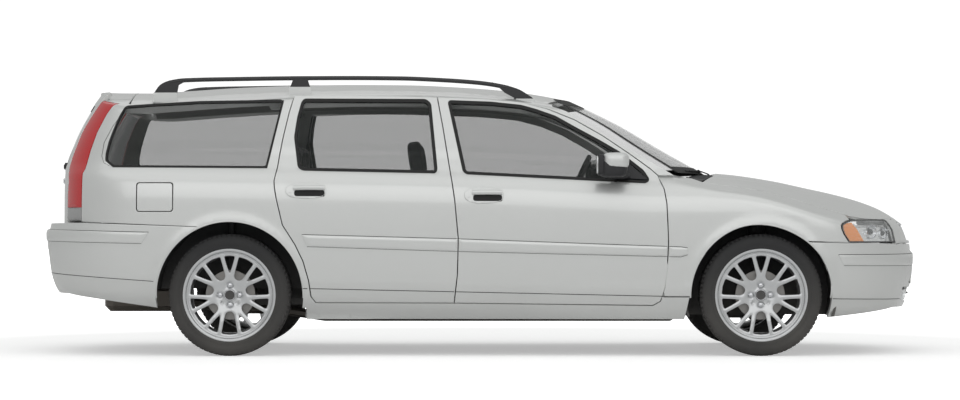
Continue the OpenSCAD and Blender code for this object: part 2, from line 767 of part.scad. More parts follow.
module door_hinge_lugs(x, base_x) {
  for (z = door_hinge_z) {
    inner = face_y(base_x, z / body_height * 1468, frame_depth) + 0.75;
    rod_z(hinge_pin_radius, z - 28, z + 28, x, -door_hinge_y);
    for (low = [z - 28, z + 15])
      difference() {
        union() {
          rod_z(knuckle_radius, low, low + 13, x, -door_hinge_y);
          translate([x - 7, -door_hinge_y, low]) cube([14, door_hinge_y - inner, 13]);
          translate([x - 7, -inner - 8, low]) cube([52, 8, 13]);
        }
      }
  }
}
module hinges() {
  color("gray") {
    on_both_sides() {
      door_hinge_lugs(front_hinge_x, 930);
      door_hinge_lugs(rear_hinge_x, -160);
      bonnet_hinge_post();
      tailgate_hinge_lugs();
    }
    flap_hinge_lugs();
  }
}
scuttle_wall = 14;
firewall_face = px(1000) + scuttle_wall;
module bonnet_hinge_post() {
  x = bonnet_hinge[0];
  y = -bonnet_hinge[1];
  z = bonnet_hinge[2];
  rod_y(hinge_pin_radius, y - 20, y + 8, x, z);
  rod_y(9, y - 20, y - 7, x, z);
  translate([x - 9, y - 20, z - 80]) cube([18, 13, 80]);
  translate([firewall_face + seat_gap, y - 20, z - 80])
    cube([x - firewall_face - seat_gap + 9, 13, 14]);
}
module tailgate_hinge_lugs() {
  x = tailgate_hinge_x;
  z = tailgate_hinge_z;
  side = strap_width / 2 + 1;
  rod_y(hinge_pin_radius, -tailgate_hinge_y - side - 10, -tailgate_hinge_y + side + 10, x, z);
  for (y = [-tailgate_hinge_y - side - 10, -tailgate_hinge_y + side]) {
    rod_y(7, y, y + 10, x, z);
    translate([x, y, z - 7]) cube([px(hatch_line) + hinge_strip - x - seat_gap, 10, 9]);
  }
}
module flap_hinge_lugs() {
  y = -flap_hinge_y + 9;
  rod_z(2, flap_hinge_z - 34, flap_hinge_z + 34, flap_hinge_x, y);
  for (low = [flap_hinge_z - 34, flap_hinge_z + 21])
    translate([flap_hinge_x - 5, y - 3, low])
      cube([10, -py(pocket_floor) - y + 3 - seat_gap, 13]);
}

/* Glass, cowl and wipers */
cowl_rear = 1000 + scuttle_wall + seat_gap;
module cowl_and_wipers() {
  color("black") {
    panel() difference() {
      intersection() {
        plan([[1285, 0], [1265, 260], [1227, 500], [1180, 670], [cowl_rear, 670], [1100, 500],
          [1180, 260], [1210, 0], [1180, -260], [1100, -500], [cowl_rear, -670], [1180, -670],
          [1227, -500], [1265, -260]], pz(780), pz(950));
        difference() {
          top_sheet(bonnet_stations, 0, 12, false);
          top_sheet(bonnet_stations, 0, 40, false);
        }
      }
      plan_grown(bonnet_outline, shut_gap / 2);
      screen_front(-seat_gap);
    }
    for (side = [0, 1]) wiper(side);
  }
}
// A wiper's arm and blade lie along the foot of the windscreen
function on_screen(y, z, ahead) = [px(screen_station(y, z)) + ahead, py(y), pz(z)];
module wiper(side) {
  pivot = side == 0 ? on_screen(560, 925, 22) : on_screen(-60, 938, 24);
  elbow = side == 0 ? on_screen(180, 975, 26) : on_screen(-380, 968, 26);
  blade = side == 0 ? [440, -90, 976] : [-120, -600, 966];
  blade_points = [for (k = [0 : 4]) on_screen(blade[0] + (blade[1] - blade[0]) * k / 4, blade[2], 12.5)];
  panel() {
    hull() for (p = [pivot, elbow]) translate(p) sphere(r = 6, $fn = 6);
    hull() for (p = [elbow, blade_points[2]]) translate(p) sphere(r = 6, $fn = 6);
    for (k = [0 : 3])
      hull() for (p = [blade_points[k], blade_points[k + 1]]) translate(p) sphere(r = 5, $fn = 6);
    hull() for (p = [pivot, pivot - [0, 0, 14]]) translate(p) sphere(r = 9, $fn = 6);
  }
}

/* Floor, scuttle and wheel houses */
// Threaded hole for a towing eye, in the front cross beam
towing_eye = [2170, -250, 370];
towing_eye_depth = 45;
towing_eye_radius = 8;
module floor_pan() {
  color("dimgray") {
    difference() {
      union() {
        block([-800, -floor_half, floor_low], [1000, floor_half, floor_high]);
        translate([px(1000), -py(floor_half), pz(floor_low)])
          cube([scuttle_wall, 2 * py(floor_half), pz(700)]);
        block([-815, -floor_half + 30, floor_low], [-800, floor_half - 30, 420]);
        block([-2180, -rear_liner_inner, 405], [-800, rear_liner_inner, 435]);
        block([-2195, -440, 330], [-2180, 440, 640]);
        for (side = [-1, 1]) {
          block([1000, side * 440 - 30, 300], [2120, side * 440 + 30, 400]);
          liner(side, front_axle, front_liner_radius, front_liner_inner, floor_low);
          liner(side, rear_axle, rear_liner_radius, rear_liner_inner, 345);
        }
        block([2120, -520, 300], [2170, 520, 400]);
      }
      block([-700, -110, 0], [960, 110, floor_low + 25]);
      translate([px(towing_eye[0]) - towing_eye_depth, py(towing_eye[1]), pz(towing_eye[2])])
        rotate([0, 90, 0]) cylinder(r = towing_eye_radius, h = 100);
      for (side = [-1, 1]) {
        drum(side, front_axle, front_liner_radius - liner_wall, front_liner_inner + liner_wall, past);
        drum(side, rear_axle, rear_liner_radius - liner_wall, rear_liner_inner + liner_wall, past);
      }
    }
  }
}
liner_outer = 838;
module liner_room() {
  outer = liner_outer + seat_gap;
  around = 1 / cos(180 / 72);
  for (side = [-1, 1]) {
    drum(side, front_axle, (front_liner_radius + seat_gap) * around, front_liner_inner, outer, $fn = 72);
    drum(side, rear_axle, (rear_liner_radius + seat_gap) * around, rear_liner_inner, outer, $fn = 72);
  }
}
// A drum round an axle, between two distances from the car's middle
module drum(side, axle, radius, inner, outer) {
  rod_y(radius, side > 0 ? inner : -outer, side > 0 ? outer : -inner, axle, tyre_radius);
}
module liner(side, axle, radius, inner, low) {
  intersection() {
    drum(side, axle, radius, inner, liner_outer);
    translate([-past, -past, pz(low)]) cube([2 * past, 2 * past, 900]);
  }
}

/* Cabin */
module rounded(low, high, r) {
  hull() for (x = [low[0] + r, high[0] - r], y = [low[1] + r, high[1] - r], z = [low[2] + r, high[2] - r])
    translate([x, y, z]) sphere(r = r / cos(180 / 8), $fn = 8);
}
seat_y = 370;
module front_seats() {
  color("black") panel() for (side = [-1, 1]) translate([px(0), side * py(seat_y), pz(floor_high)]) {
    translate([-150, -190, seat_gap]) cube([420, 380, 120]);
    rounded([-200, -250, 110], [340, 250, 260], 40);
    rotate([0, -18, 0]) rounded([-190, -240, 150], [-60, 240, 760], 45);
    for (y = [-60, 60])
      translate([-338, y, 660]) rotate([0, -8, 0]) cylinder(r = 7, h = 110, $fn = 8);
    rotate([0, -8, 0]) rounded([-270, -130, 745], [-185, 130, 920], 35);
  }
}
module rear_bench() {
  color("black") panel() {
    translate([px(-780), 0, pz(floor_high)]) {
      translate([0, -py(620), seat_gap]) cube([380, py(1240), 180]);
      rounded([-10, -py(640), 160], [430, py(640), 300], 40);
    }
    translate([px(-740), 0, pz(484)]) rotate([0, -22, 0])
      rounded([-110, -py(630), 0], [10, py(630), 560], 40);
    for (y = [-380, 0, 380]) translate([px(-985), py(y), pz(950)])
      rounded([-60, -120, 0], [30, 120, 150], 30);
  }
}
dash_front = 1000 - seat_gap;
module dashboard() {
  color("dimgray") {
    panel() union() {
      at_steering_wheel() translate([0, 0, -160 - seat_gap]) cylinder(r = 34, h = 140, $fn = 24);
      intersection() {
      slab([[dash_front, 600], [dash_front, 880], [900, 915], [700, 925], [600, 900], [560, 820],
        [570, 720], [640, 620]]);
      translate([-past, -py(700), 0]) cube([2 * past, py(1400), 2000]);
      envelope(98);
      }
    }
    block([240, -105, floor_high + 0.4], [640, 105, 560]);
    block([-250, -95, floor_high + 0.4], [240, 95, 470]);
  }
}
wheel_tilt = 24;
module at_steering_wheel() {
  translate([px(536), py(seat_y), pz(893)]) rotate([0, -90 + wheel_tilt, 0]) children();
}
module steering_wheel() {
  color("black") at_steering_wheel() {
    rotate_extrude($fn = 64) translate([178, 0]) circle(r = 14, $fn = 24);
    cylinder(r = 58, h = 40, center = true);
    for (a = [90, 210, 330]) rotate([0, 0, a]) translate([50, -16, -8]) cube([118, 32, 16]);
  }
}
engine_low = [1180, -330, 300];
engine_high = [1780, 330, 760];
module engine_block() {
  color("gray") block(engine_low, engine_high);
}

/* Wheels and running gear */
function wheel_place(front, side) =
  [front ? front_axle : rear_axle, side * wheel_y, tyre_radius];
module at_wheel(front, side) {
  translate(wheel_place(front, side)) rotate([side > 0 ? -90 : 90, 0, 0]) children();
}
rim_half = tyre_width / 2 - 4;
spoke_face = rim_half - 16;
spoke_wall = 24;
spoke_root = 62;
nut_count = 4;
module spokes() {
  circle(r = 74);
  for (k = [0 : fork_count - 1]) rotate(90 + k * 360 / fork_count) {
    polygon([[spoke_root, -22], [118, -18], [118, 18], [spoke_root, 22]]);
    for (s = [-1, 1])
      polygon([[108, s * 4], [108, s * 20], [seat_radius + 3, s * 50], [seat_radius + 5, s * 38]]);
  }
}
module wheel() {
  color("silver") difference() {
    union() {
      rotate_extrude($fn = 96) polygon([[seat_radius - 8, -rim_half], [rim_radius, -rim_half],
        [rim_radius, -rim_half + 6], [seat_radius, -rim_half + 14], [seat_radius, rim_half - 14],
        [rim_radius, rim_half - 6], [rim_radius, rim_half], [seat_radius - 8, rim_half - 10],
        [seat_radius - 8, -rim_half + 10]]);
      translate([0, 0, spoke_face - spoke_wall]) linear_extrude(spoke_wall) intersection() {
        spokes();
        circle(r = seat_radius - 4);
      }
      translate([0, 0, hub_inner]) cylinder(r = 70, h = spoke_face - hub_inner - 2);
    }
    translate([0, 0, -200]) cylinder(r = spindle_radius + running_gap, h = 200 + spoke_face - 10);
    for (k = [0 : nut_count - 1]) rotate(k * 360 / nut_count)
      translate([nut_circle_radius, 0, spoke_face - 8]) cylinder(r = 11, h = 20);
  }
  color("gray") difference() {
    translate([0, 0, hub_inner - 22 - seat_gap]) cylinder(r = disc_radius, h = 22);
    translate([0, 0, -200]) cylinder(r = spindle_radius + running_gap, h = 400);
  }
}
hub_inner = 20;
module tyre() {
  shoulder = 26;
  half = tyre_width / 2;
  crown = tyre_radius - shoulder;
  crown_half = half - 6 - shoulder;
  color("black") rotate_extrude($fn = 96) polygon(concat(
    [[seat_radius + seat_gap, -rim_half + 15], [seat_radius + 13, -rim_half + 10.3],
      [rim_radius + 1, -rim_half + 6.8], [rim_radius + 4, -half + 2], [rim_radius + 22, -half]],
    [for (a = [-75 : 25 : 0]) [crown + shoulder * cos(a), -crown_half + shoulder * sin(a)]],
    [for (a = [0 : 25 : 75]) [crown + shoulder * cos(a), crown_half + shoulder * sin(a)]],
    [[rim_radius + 22, half], [rim_radius + 4, half - 2], [rim_radius + 1, rim_half - 6.8],
      [seat_radius + 13, rim_half - 10.3], [seat_radius + seat_gap, rim_half - 15]]));
}
module wheel_front_right() { at_wheel(true, -1) wheel(); }
module wheel_front_left() { at_wheel(true, 1) wheel(); }
module wheel_rear_right() { at_wheel(false, -1) wheel(); }
module wheel_rear_left() { at_wheel(false, 1) wheel(); }
module tyre_front_right() { at_wheel(true, -1) tyre(); }
module tyre_front_left() { at_wheel(true, 1) tyre(); }
module tyre_rear_right() { at_wheel(false, -1) tyre(); }
module tyre_rear_left() { at_wheel(false, 1) tyre(); }

// Front knuckles turn on a ball stud below and a strut above, about a leaning line
stud_low = [front_axle, wheel_y - 88, 196];
lean = 12.2;
strut_top_radius = 34;
// Height over the axle at which an upright rod meets the round roof of a wheel house
function seat_under(radius, reach) = sqrt(pow(radius - liner_wall, 2) - pow(reach, 2)) - 0.9;
module along_stud(side) {
  translate([stud_low[0], side * stud_low[1], stud_low[2]]) rotate([side * lean, 0, 0]) children();
}
cradle_low = 185;
strut_start = 268;
strut_end = 497;
module knuckle(side) {
  spindle_start = wheel_y - 88 - (tyre_radius - stud_low[2]) * tan(lean) - 20;
  color("gray") difference() {
    union() {
      along_stud(side) {
        cylinder(r = 24, h = 34);
        translate([-26, -18, 10]) cube([52, 36, strut_start - 40]);
        translate([0, 0, strut_start - 44]) cylinder(r = 27, h = 44);
      }
      at_wheel(true, side) translate([0, 0, -wheel_y + spindle_start])
        cylinder(r = spindle_radius, h = wheel_y - spindle_start + spoke_face - 14);
    }
    along_stud(side) {
      translate([0, 0, -10]) cylinder(r = stud_radius + running_gap, h = 38);
      translate([0, 0, strut_start - 34]) cylinder(r = stud_radius + 2 + running_gap, h = 60);
    }
  }
}
module knuckle_right() { knuckle(-1); }
module knuckle_left() { knuckle(1); }
module front_suspension() {
  color("dimgray") {
    translate([front_axle - 130, -py(440), cradle_low]) cube([260, py(880), 50]);
    for (side = [-1, 1]) {
      // Feet under the body's rails and pads under the engine
      translate([front_axle - 110, side * py(430) - 15, cradle_low + 50])
        cube([220, 30, pz(300) - cradle_low - 50 - seat_gap]);
      translate([front_axle - 40, side * 200 - 30, cradle_low + 50])
        cube([80, 60, pz(engine_low[2]) - cradle_low - 50 - seat_gap]);
      along_stud(side) {
        translate([0, 0, -16]) cylinder(r = stud_radius, h = 42);
        translate([0, 0, -16]) cylinder(r = 22, h = 14);
        translate([0, 0, strut_start - 32]) cylinder(r = stud_radius + 2, h = 60);
        translate([0, 0, strut_start + 3]) cylinder(r = 23, h = strut_end - strut_start);
      }
      y_in = py(400) - 10;
      y_out = stud_low[1] + 3;
      translate([front_axle - 22, side > 0 ? y_in : -y_out, 178]) cube([44, y_out - y_in, 12]);
      along_stud(side) translate([0, 0, strut_end - 57]) cylinder(r = 45, h = 40);
      rod_z(strut_top_radius, tyre_radius + front_liner_radius - 70,
        tyre_radius + seat_under(front_liner_radius, strut_top_radius), front_axle,
        side * (stud_low[1] - (strut_end - 20) * sin(lean)));
    }
  }
}
module rear_suspension() {
  color("dimgray") {
    block([base_rear_axle - 60, -420, 250], [base_rear_axle + 60, 420, 310]);
    for (side = [-1, 1]) rear_corner_parts(side);
  }
}
knuckle_y = 658;
module rear_corner_parts(side) {
  mirror([0, side > 0 ? 0 : 1, 0]) {
    translate([rear_axle - 18, py(420), 262]) cube([36, knuckle_y - py(420), 36]);
    difference() {
      translate([rear_axle - 45, knuckle_y, tyre_radius - 70]) cube([135, 36, 140]);
      rod_y(10, knuckle_y - 5, knuckle_y + 50, rear_axle + 65, tyre_radius - 40);
    }
    translate([rear_axle + 90, knuckle_y - 20, 262]) cube([380, 30, 36]);
    translate([rear_axle + 90, knuckle_y - 20, 262]) cube([20, 56, 60]);
    rod_z(18, 262 + 36, tyre_radius + seat_under(rear_liner_radius, 26),
      rear_axle - 8, knuckle_y - 22);
    translate([rear_axle - 26, knuckle_y - 40, 262]) cube([36, 42, 36]);
    at_wheel(false, 1) translate([0, 0, knuckle_y + 30 - wheel_y])
      cylinder(r = spindle_radius, h = wheel_y - knuckle_y - 30 + spoke_face - 14);
  }
}
pipe_radius = 26;
pipe_low = 178;
pipe_route = [[1150, 60, 330], [1110, 60, 225], [1030, 0, pipe_low], [-840, 0, pipe_low],
  [-1130, 330, 208], [-1420, 330, 208], [-1640, 330, 262]];
silencer_low = [-2060, 40, 205];
silencer_high = [-1600, 460, 345];
module exhaust() {
  color("gray") {
    route = [for (p = pipe_route) [px(p[0]), py(p[1]), pz(p[2])]];
    panel() {
      for (k = [0 : len(route) - 2]) hull() {
        translate(route[k]) sphere(r = pipe_radius, $fn = 8);
        translate(route[k + 1]) sphere(r = pipe_radius, $fn = 8);
      }
      rounded([px(silencer_low[0]), py(silencer_low[1]), pz(silencer_low[2])],
        [px(silencer_high[0]), py(silencer_high[1]), pz(silencer_high[2])], 50);
    }
    // Hangers carry it under the floor
    for (p = [[-600, 0], [200, 0]])
      translate([px(p[0]) - 12, -3, pz(pipe_low) + pipe_radius - 4])
        cube([24, 6, pz(floor_low + 25) - pz(pipe_low) - pipe_radius + 4 - seat_gap]);
    for (y = [150, 350])
      translate([px(-1830) - 12, py(y) - 3, pz(silencer_high[2]) - 6])
        cube([24, 6, pz(405) - pz(silencer_high[2]) + 6 - seat_gap]);
  }
}
module fuel_tank() {
  color("black") panel()
    rounded([px(-1180), -py(540), pz(262)], [px(-840), -py(20), pz(405) - seat_gap], 40);
}

body_sides();
floor_pan();
roof_panel();
roof_rails();
front_fenders();
bonnet();
front_bumper();
rear_bumper();
grille();
headlamps();
tail_lamps();
fixed_glass();
cowl_and_wipers();
front_door_right();
front_door_left();
rear_door_right();
rear_door_left();
front_glass_right();
front_glass_left();
rear_glass_right();
rear_glass_left();
mirror_right();
mirror_left();
tailgate();
tailgate_glass();
fuel_flap();
hinges();
front_seats();
rear_bench();
dashboard();
steering_wheel();
engine_block();
front_suspension();
rear_suspension();
knuckle_right();
knuckle_left();
wheel_front_right();
wheel_front_left();
wheel_rear_right();
wheel_rear_left();
tyre_front_right();
tyre_front_left();
tyre_rear_right();
tyre_rear_left();
exhaust();
fuel_tank();
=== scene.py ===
# A silver station wagon: painted panels, lamps, wheels and a cabin, built around its frame.
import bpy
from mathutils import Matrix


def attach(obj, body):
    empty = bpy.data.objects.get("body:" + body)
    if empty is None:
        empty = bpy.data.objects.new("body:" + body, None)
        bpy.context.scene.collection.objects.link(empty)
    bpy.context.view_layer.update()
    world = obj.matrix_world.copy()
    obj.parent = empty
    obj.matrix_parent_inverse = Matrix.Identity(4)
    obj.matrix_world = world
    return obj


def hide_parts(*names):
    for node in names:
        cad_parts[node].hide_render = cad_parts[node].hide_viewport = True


bl_info = {
    "name": "Station wagon",
    "version": (1, 0, 0),
    "blender": (4, 5, 0),
    "location": "3D View > Sidebar > Wagon",
    "description": "Builds the looks of a five-door station wagon around its frame",
    "category": "Object",
}
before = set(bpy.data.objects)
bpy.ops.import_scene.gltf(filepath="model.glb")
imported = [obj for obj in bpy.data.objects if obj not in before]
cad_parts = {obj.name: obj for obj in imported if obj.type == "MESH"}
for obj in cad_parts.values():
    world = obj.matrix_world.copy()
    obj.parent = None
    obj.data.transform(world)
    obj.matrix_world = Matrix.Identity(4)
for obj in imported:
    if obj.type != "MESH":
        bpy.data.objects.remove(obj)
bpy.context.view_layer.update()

import math

import bmesh
import bpy
import numpy as np
from mathutils import Vector
from mathutils.geometry import delaunay_2d_cdt

# ---- The body's tables, in millimetres, on the car's own axes ----
SIDE_PROFILE = [[190, 800], [250, 845], [300, 868], [420, 891], [620, 898], [790, 895], [850, 888],
                [900, 873], [935, 850], [955, 826], [975, 805], [1100, 757], [1200, 715],
                [1300, 667], [1345, 640], [1385, 604], [1420, 560], [1460, 500]]
NOSE_PROFILE = [[190, 2235], [231, 2297], [281, 2322], [343, 2337], [424, 2352], [485, 2355],
                [525, 2355], [545, 2341], [576, 2337], [627, 2322], [678, 2297], [703, 2266],
                [760, 2240]]
TAIL_PROFILE = [[600, -2264], [970, -2262], [1130, -2213], [1334, -2104], [1395, -2062],
                [1460, -2030]]
REAR_BUMPER_PROFILE = [[190, -2200], [294, -2247], [312, -2282], [351, -2311], [420, -2334],
                       [509, -2347], [586, -2355], [640, -2355], [668, -2336]]
BELT_LINE = [[-1908, 987], [-919, 971], [-68, 952], [859, 905]]
ROOF_CROWN = [[-2100, 1396], [-1763, 1394], [-1620, 1403], [-1296, 1424], [-1000, 1435],
              [-700, 1440], [-400, 1438], [-100, 1425], [100, 1410], [281, 1388], [389, 1369],
              [497, 1345], [700, 1290]]
BONNET_CROWN = [[1000, 990], [1281, 957], [1341, 952], [1585, 916], [1748, 881], [1890, 850],
                [2022, 815], [2134, 774], [2225, 724], [2266, 703], [2400, 620]]
SCREEN_PROFILE = [[900, 1290], [965, 1200], [986, 1164], [1040, 1066], [1119, 929], [1217, 762],
                  [1285, 625], [1345, 497], [1400, 360], [1470, 150]]
DOOR_SPLIT = [[-225, 1353], [-194, 1191], [-163, 1004], [-145, 903], [-131, 809], [-112, 607],
              [-117, 422], [-134, 274]]
FRONT_DOOR = [[895, 262], [934, 284], [958, 361], [970, 477], [975, 592], [971, 706], [967, 790],
              [955, 865], [925, 939], [886, 973], [776, 1054], [637, 1149], [497, 1230],
              [356, 1288], [215, 1326], [0, 1345]] + DOOR_SPLIT
REAR_DOOR = DOOR_SPLIT[::-1] + [[-421, 1359], [-685, 1362], [-975, 1360], [-1000, 1267],
                                [-1027, 1140], [-1045, 1038], [-1053, 979], [-1067, 908],
                                [-1064, 870], [-1053, 809], [-1022, 679], [-958, 579], [-916, 493],
                                [-887, 393], [-875, 308], [-851, 276]]
FRONT_WINDOW = [[-161, 1327], [54, 1319], [214, 1302], [289, 1281], [393, 1244], [494, 1186],
                [625, 1114], [728, 1053], [847, 958], [873, 916], [859, 905], [-68, 952],
                [-82, 964]]
REAR_WINDOW = [[-919, 1335], [-286, 1333], [-265, 1314], [-230, 971], [-235, 957], [-919, 971],
               [-940, 984], [-962, 1140], [-949, 1242], [-930, 1322]]
QUARTER_WINDOW = [[-1862, 1300], [-1470, 1323], [-1035, 1330], [-1112, 982], [-1908, 987],
                  [-1950, 1020], [-1950, 1054], [-1937, 1115], [-1915, 1182], [-1890, 1248]]
TAIL_LAMP = [[-2078, 698], [-2076, 950], [-2064, 972], [-2056, 1010], [-2042, 1071], [-2012, 1166],
             [-1967, 1261], [-1908, 1350], [-2500, 1350], [-2500, 698]]
FUEL_FLAP = [[-1778, 749], [-1590, 749], [-1590, 899], [-1778, 899]]
BONNET_PLAN = [[1165, -738], [1300, -752], [1500, -758], [1700, -757], [1850, -750], [1926, -742],
               [2014, -712], [2060, -680], [2105, -634], [2133, -592]]
BONNET_NOSE = [[2133, -592], [2172, -500], [2202, -380], [2218, -240], [2226, -110], [2228, 0]]
BONNET_REAR = [[1165, -738], [1235, -500], [1270, -260], [1281, 0]]
HATCH = [[648, 600], [645, 910], [584, 1003], [532, 1172], [500, 1337], [480, 1480]]
HATCH_LINE = -1846
ROOF_EDGE = 572
FRONT_AXLE, REAR_AXLE, AXLE_Z = 1457.0, -1298.0, 316.0
FRONT_ARCH, REAR_ARCH = 367.0, 382.0
WHEEL_Y = 778.0
MM = 0.001
FULL_HALF = 2354.6
ROLL = 0.28  # share of a rim's radius at the middle of its roll
FLOOR_SIZE, LENS_LENGTH, LENS_SHIFT = 120, 114.4, 0.0219
CAMERA_PLACE = (0.0, -16.67, 0.70)
LAMP_YAW = -140.0
STRIP_TOP = [[-922, 629], [-117, 607], [1040, 565], [1074, 560]]
STRIP_LOW = [[-895, 568], [-117, 543], [1039, 515], [1074, 526]]
SILL_SEAM = [[-922, 351], [1073, 308]]
QUARTER_LINE = [[-1042, 1344], [-1514, 1337], [-1772, 1323], [-1850, 1306], [-1925, 1196],
                [-1967, 1110], [-1976, 1040], [-1962, 1003], [-1930, 987]]
# Across a strip from its top edge down: the share of its width, and its height, which is below 0
# behind the skin
STRIP_SECTION = [(0, -7), (0.0, 0.45), (0.03, 0.8), (0.09, 1.0), (0.3, 1.06), (0.6, 1.0),
                 (0.85, 0.86), (0.95, 0.66), (1.0, 0.3), (1.0, -7)]


def smooth_table(points):
    """A smooth curve through a table that never overshoots it."""
    p = np.array(points, float)
    x, y = p[:, 0], p[:, 1]
    h, d = np.diff(x), np.diff(y) / np.diff(x)
    m = np.zeros(len(x))
    for i in range(1, len(x) - 1):
        if d[i - 1] * d[i] > 0:
            a, b = 2 * h[i] + h[i - 1], h[i] + 2 * h[i - 1]
            m[i] = (a + b) / (a / d[i - 1] + b / d[i])
    m[0], m[-1] = d[0], d[-1]

    def value(q):
        q = np.clip(np.asarray(q, float), x[0], x[-1])
        i = np.clip(np.searchsorted(x, q) - 1, 0, len(x) - 2)
        t = (q - x[i]) / h[i]
        return (y[i] * (1 + 2 * t) * (1 - t) ** 2 + h[i] * m[i] * t * (1 - t) ** 2
                + y[i + 1] * t * t * (3 - 2 * t) + h[i] * m[i + 1] * t * t * (t - 1))
    return value


side_at, nose_at, tail_at = map(smooth_table, (SIDE_PROFILE, NOSE_PROFILE, TAIL_PROFILE))
bumper_tail_at, belt_at, roof_at = map(smooth_table, (REAR_BUMPER_PROFILE, BELT_LINE, ROOF_CROWN))
bonnet_at, screen_at = map(smooth_table, (BONNET_CROWN, SCREEN_PROFILE))
roof_fall = smooth_table([[-2100, 1.1], [-1000, 1], [400, 0.8]])


def half_width(x, z):
    """Half the width of the body at a station and height."""
    return side_at(z + 962 - belt_at(x))


bonnet_fall = smooth_table([[1000, 80], [1165, 102], [1455, 114], [1700, 142], [1900, 168],
                            [2000, 176], [2400, 176]])


def bonnet_height(x, y):
    """Height of the bonnet's surface."""
    return bonnet_at(x) - bonnet_fall(x) * (np.abs(y) / 870) ** 2.6


def roof_height(x, y):
    """Height of the roof's surface."""
    return roof_at(x) - 78 * (np.abs(y) / 600) ** 2.3 * roof_fall(x)


def screen_station(y, z):
    """Where the windscreen stands along the car."""
    return screen_at(z) - 190 * (np.abs(y) / 740) ** 2


# The skin is unrolled to (w, z): w is the length along the skin seen from above, from the middle of
# the rear to the middle of the nose, and equals x along the flank.
FRONT_BEND, REAR_BEND = 1000.0, -900.0
NOSE_PULL, TAIL_PULL = 16.0, 34.0
_share = np.linspace(0, 1, 1200)
_phi = np.unique(np.concatenate([np.linspace(0, math.pi / 2, 1500), np.arcsin(_share ** 3),
                                 np.arcsin(_share ** 4)]))
_front_x, _front_y = 1340 * np.sin(_phi) ** (1 / 3), 890 * np.cos(_phi)
_rear_x, _rear_y = 1370 * np.sin(_phi) ** 0.25, 880 * np.cos(_phi) ** 0.8
FRONT_RUN = np.concatenate([[0], np.cumsum(np.hypot(np.diff(_front_x), np.diff(_front_y)))])
REAR_RUN = np.concatenate([[0], np.cumsum(np.hypot(np.diff(_rear_x), np.diff(_rear_y)))])
NOSE_W, TAIL_W = FRONT_BEND + FRONT_RUN[-1], REAR_BEND - REAR_RUN[-1]


def skin_xy(w, z, tail=tail_at):
    """x and half width of the skin at (w, z)."""
    w, z = np.asarray(w, float), np.asarray(z, float)
    fp = np.interp(w - FRONT_BEND, FRONT_RUN, _phi)
    rp = np.interp(REAR_BEND - w, REAR_RUN, _phi)
    x = np.where(w > FRONT_BEND, FRONT_BEND + (nose_at(z) - FRONT_BEND) * np.sin(fp) ** (1 / 3),
                 np.where(w < REAR_BEND, REAR_BEND + (tail(z) - REAR_BEND) * np.sin(rp) ** 0.25, w))
    share = np.where(w > FRONT_BEND, np.cos(fp),
                     np.where(w < REAR_BEND, np.clip(np.cos(rp), 0, 1) ** 0.8, 1))
    pull = np.sin(math.pi * np.clip(share / 0.75, 0, 1)) ** 2
    width = half_width(x, z) * share
    tail_pull = TAIL_PULL + 20 * np.clip((z - 960) / 200, 0, 1)
    return x - pull * np.where(w > FRONT_BEND, NOSE_PULL,
                               np.where(w < REAR_BEND, -tail_pull, 0)), width


def w_of_x(x, z, tail=tail_at):
    """Where a point of the side view lies on the unrolled skin."""
    x, z = np.asarray(x, float), np.asarray(z, float)
    fu = np.clip((x - FRONT_BEND) / (nose_at(z) - FRONT_BEND), 0, 1)
    ru = np.clip((x - REAR_BEND) / (tail(z) - REAR_BEND), 0, 1)
    front = FRONT_BEND + np.interp(np.arcsin(fu ** 3), _phi, FRONT_RUN)
    rear = REAR_BEND - np.interp(np.arcsin(ru ** 4), _phi, REAR_RUN)
    return np.where(x > FRONT_BEND, front, np.where(x < REAR_BEND, rear, x))


def w_of_y(y, z, front):
    """Where a point of the front or rear view lies on the unrolled skin."""
    end = 2290.0 if front else -2230.0
    share = np.clip(np.abs(y) / half_width(end, z), 0, 1)
    if front:
        return FRONT_BEND + np.interp(np.arccos(share), _phi, FRONT_RUN)
    return REAR_BEND - np.interp(np.arccos(share ** 1.25), _phi, REAR_RUN)


ARCHES = [(FRONT_AXLE, FRONT_ARCH), (REAR_AXLE, REAR_ARCH)]


def swell(x, z):
    """Small forms pressed into the flank: the arch lips and the sill's step."""
    out = np.zeros_like(x)
    for axle, radius in ARCHES:
        r = np.hypot(x - axle, z - AXLE_Z) - radius
        out += 7 * np.exp(-((r - 6) / 24) ** 2) * np.clip((z - 150) / 150, 0, 1)
    flank = np.clip((x + 2050) / 150, 0, 1) * np.clip((2000 - x) / 200, 0, 1)
    line = 393 - 0.0219 * x
    out += 4.5 / (1 + np.exp((z - line) / 7)) * flank * np.clip((z - 250) / 60, 0, 1)
    return out


def flank_point(w, z, tail=tail_at, flat=False):
    """The point of the right flank at (w, z), with its pressed forms unless flat."""
    x, y = skin_xy(w, z, tail)
    if not flat:
        y = y + swell(x, z) * (np.abs(w) < 2200)
    return np.stack([x, -y, np.broadcast_to(z, x.shape)], 1)


# ---- Flat outlines ----
def dense(poly, step=18.0, closed=True):
    """The same outline with no edge longer than a step."""
    p = np.array(poly, float)
    q = np.roll(p, -1, 0) if closed else p[1:]
    out = []
    for a, b in zip(p if closed else p[:-1], q):
        n = max(1, int(np.ceil(np.linalg.norm(b - a) / step)))
        out += [a + (b - a) * k / n for k in range(n)]
    if not closed:
        out.append(p[-1])
    return np.array(out)


def grow(poly, by):
    """An outline moved outwards."""
    p = np.array(poly, float)
    area = np.sum(p[:, 0] * np.roll(p[:, 1], -1) - np.roll(p[:, 0], -1) * p[:, 1])
    e = np.roll(p, -1, 0) - p
    n = np.stack([e[:, 1], -e[:, 0]], 1) / np.maximum(np.linalg.norm(e, axis=1), 1e-9)[:, None]
    n *= np.sign(area)
    a, b = np.roll(n, 1, 0), n
    m = a + b
    m /= np.maximum(np.sum(m * a, 1), 0.4)[:, None]
    return p + m * by


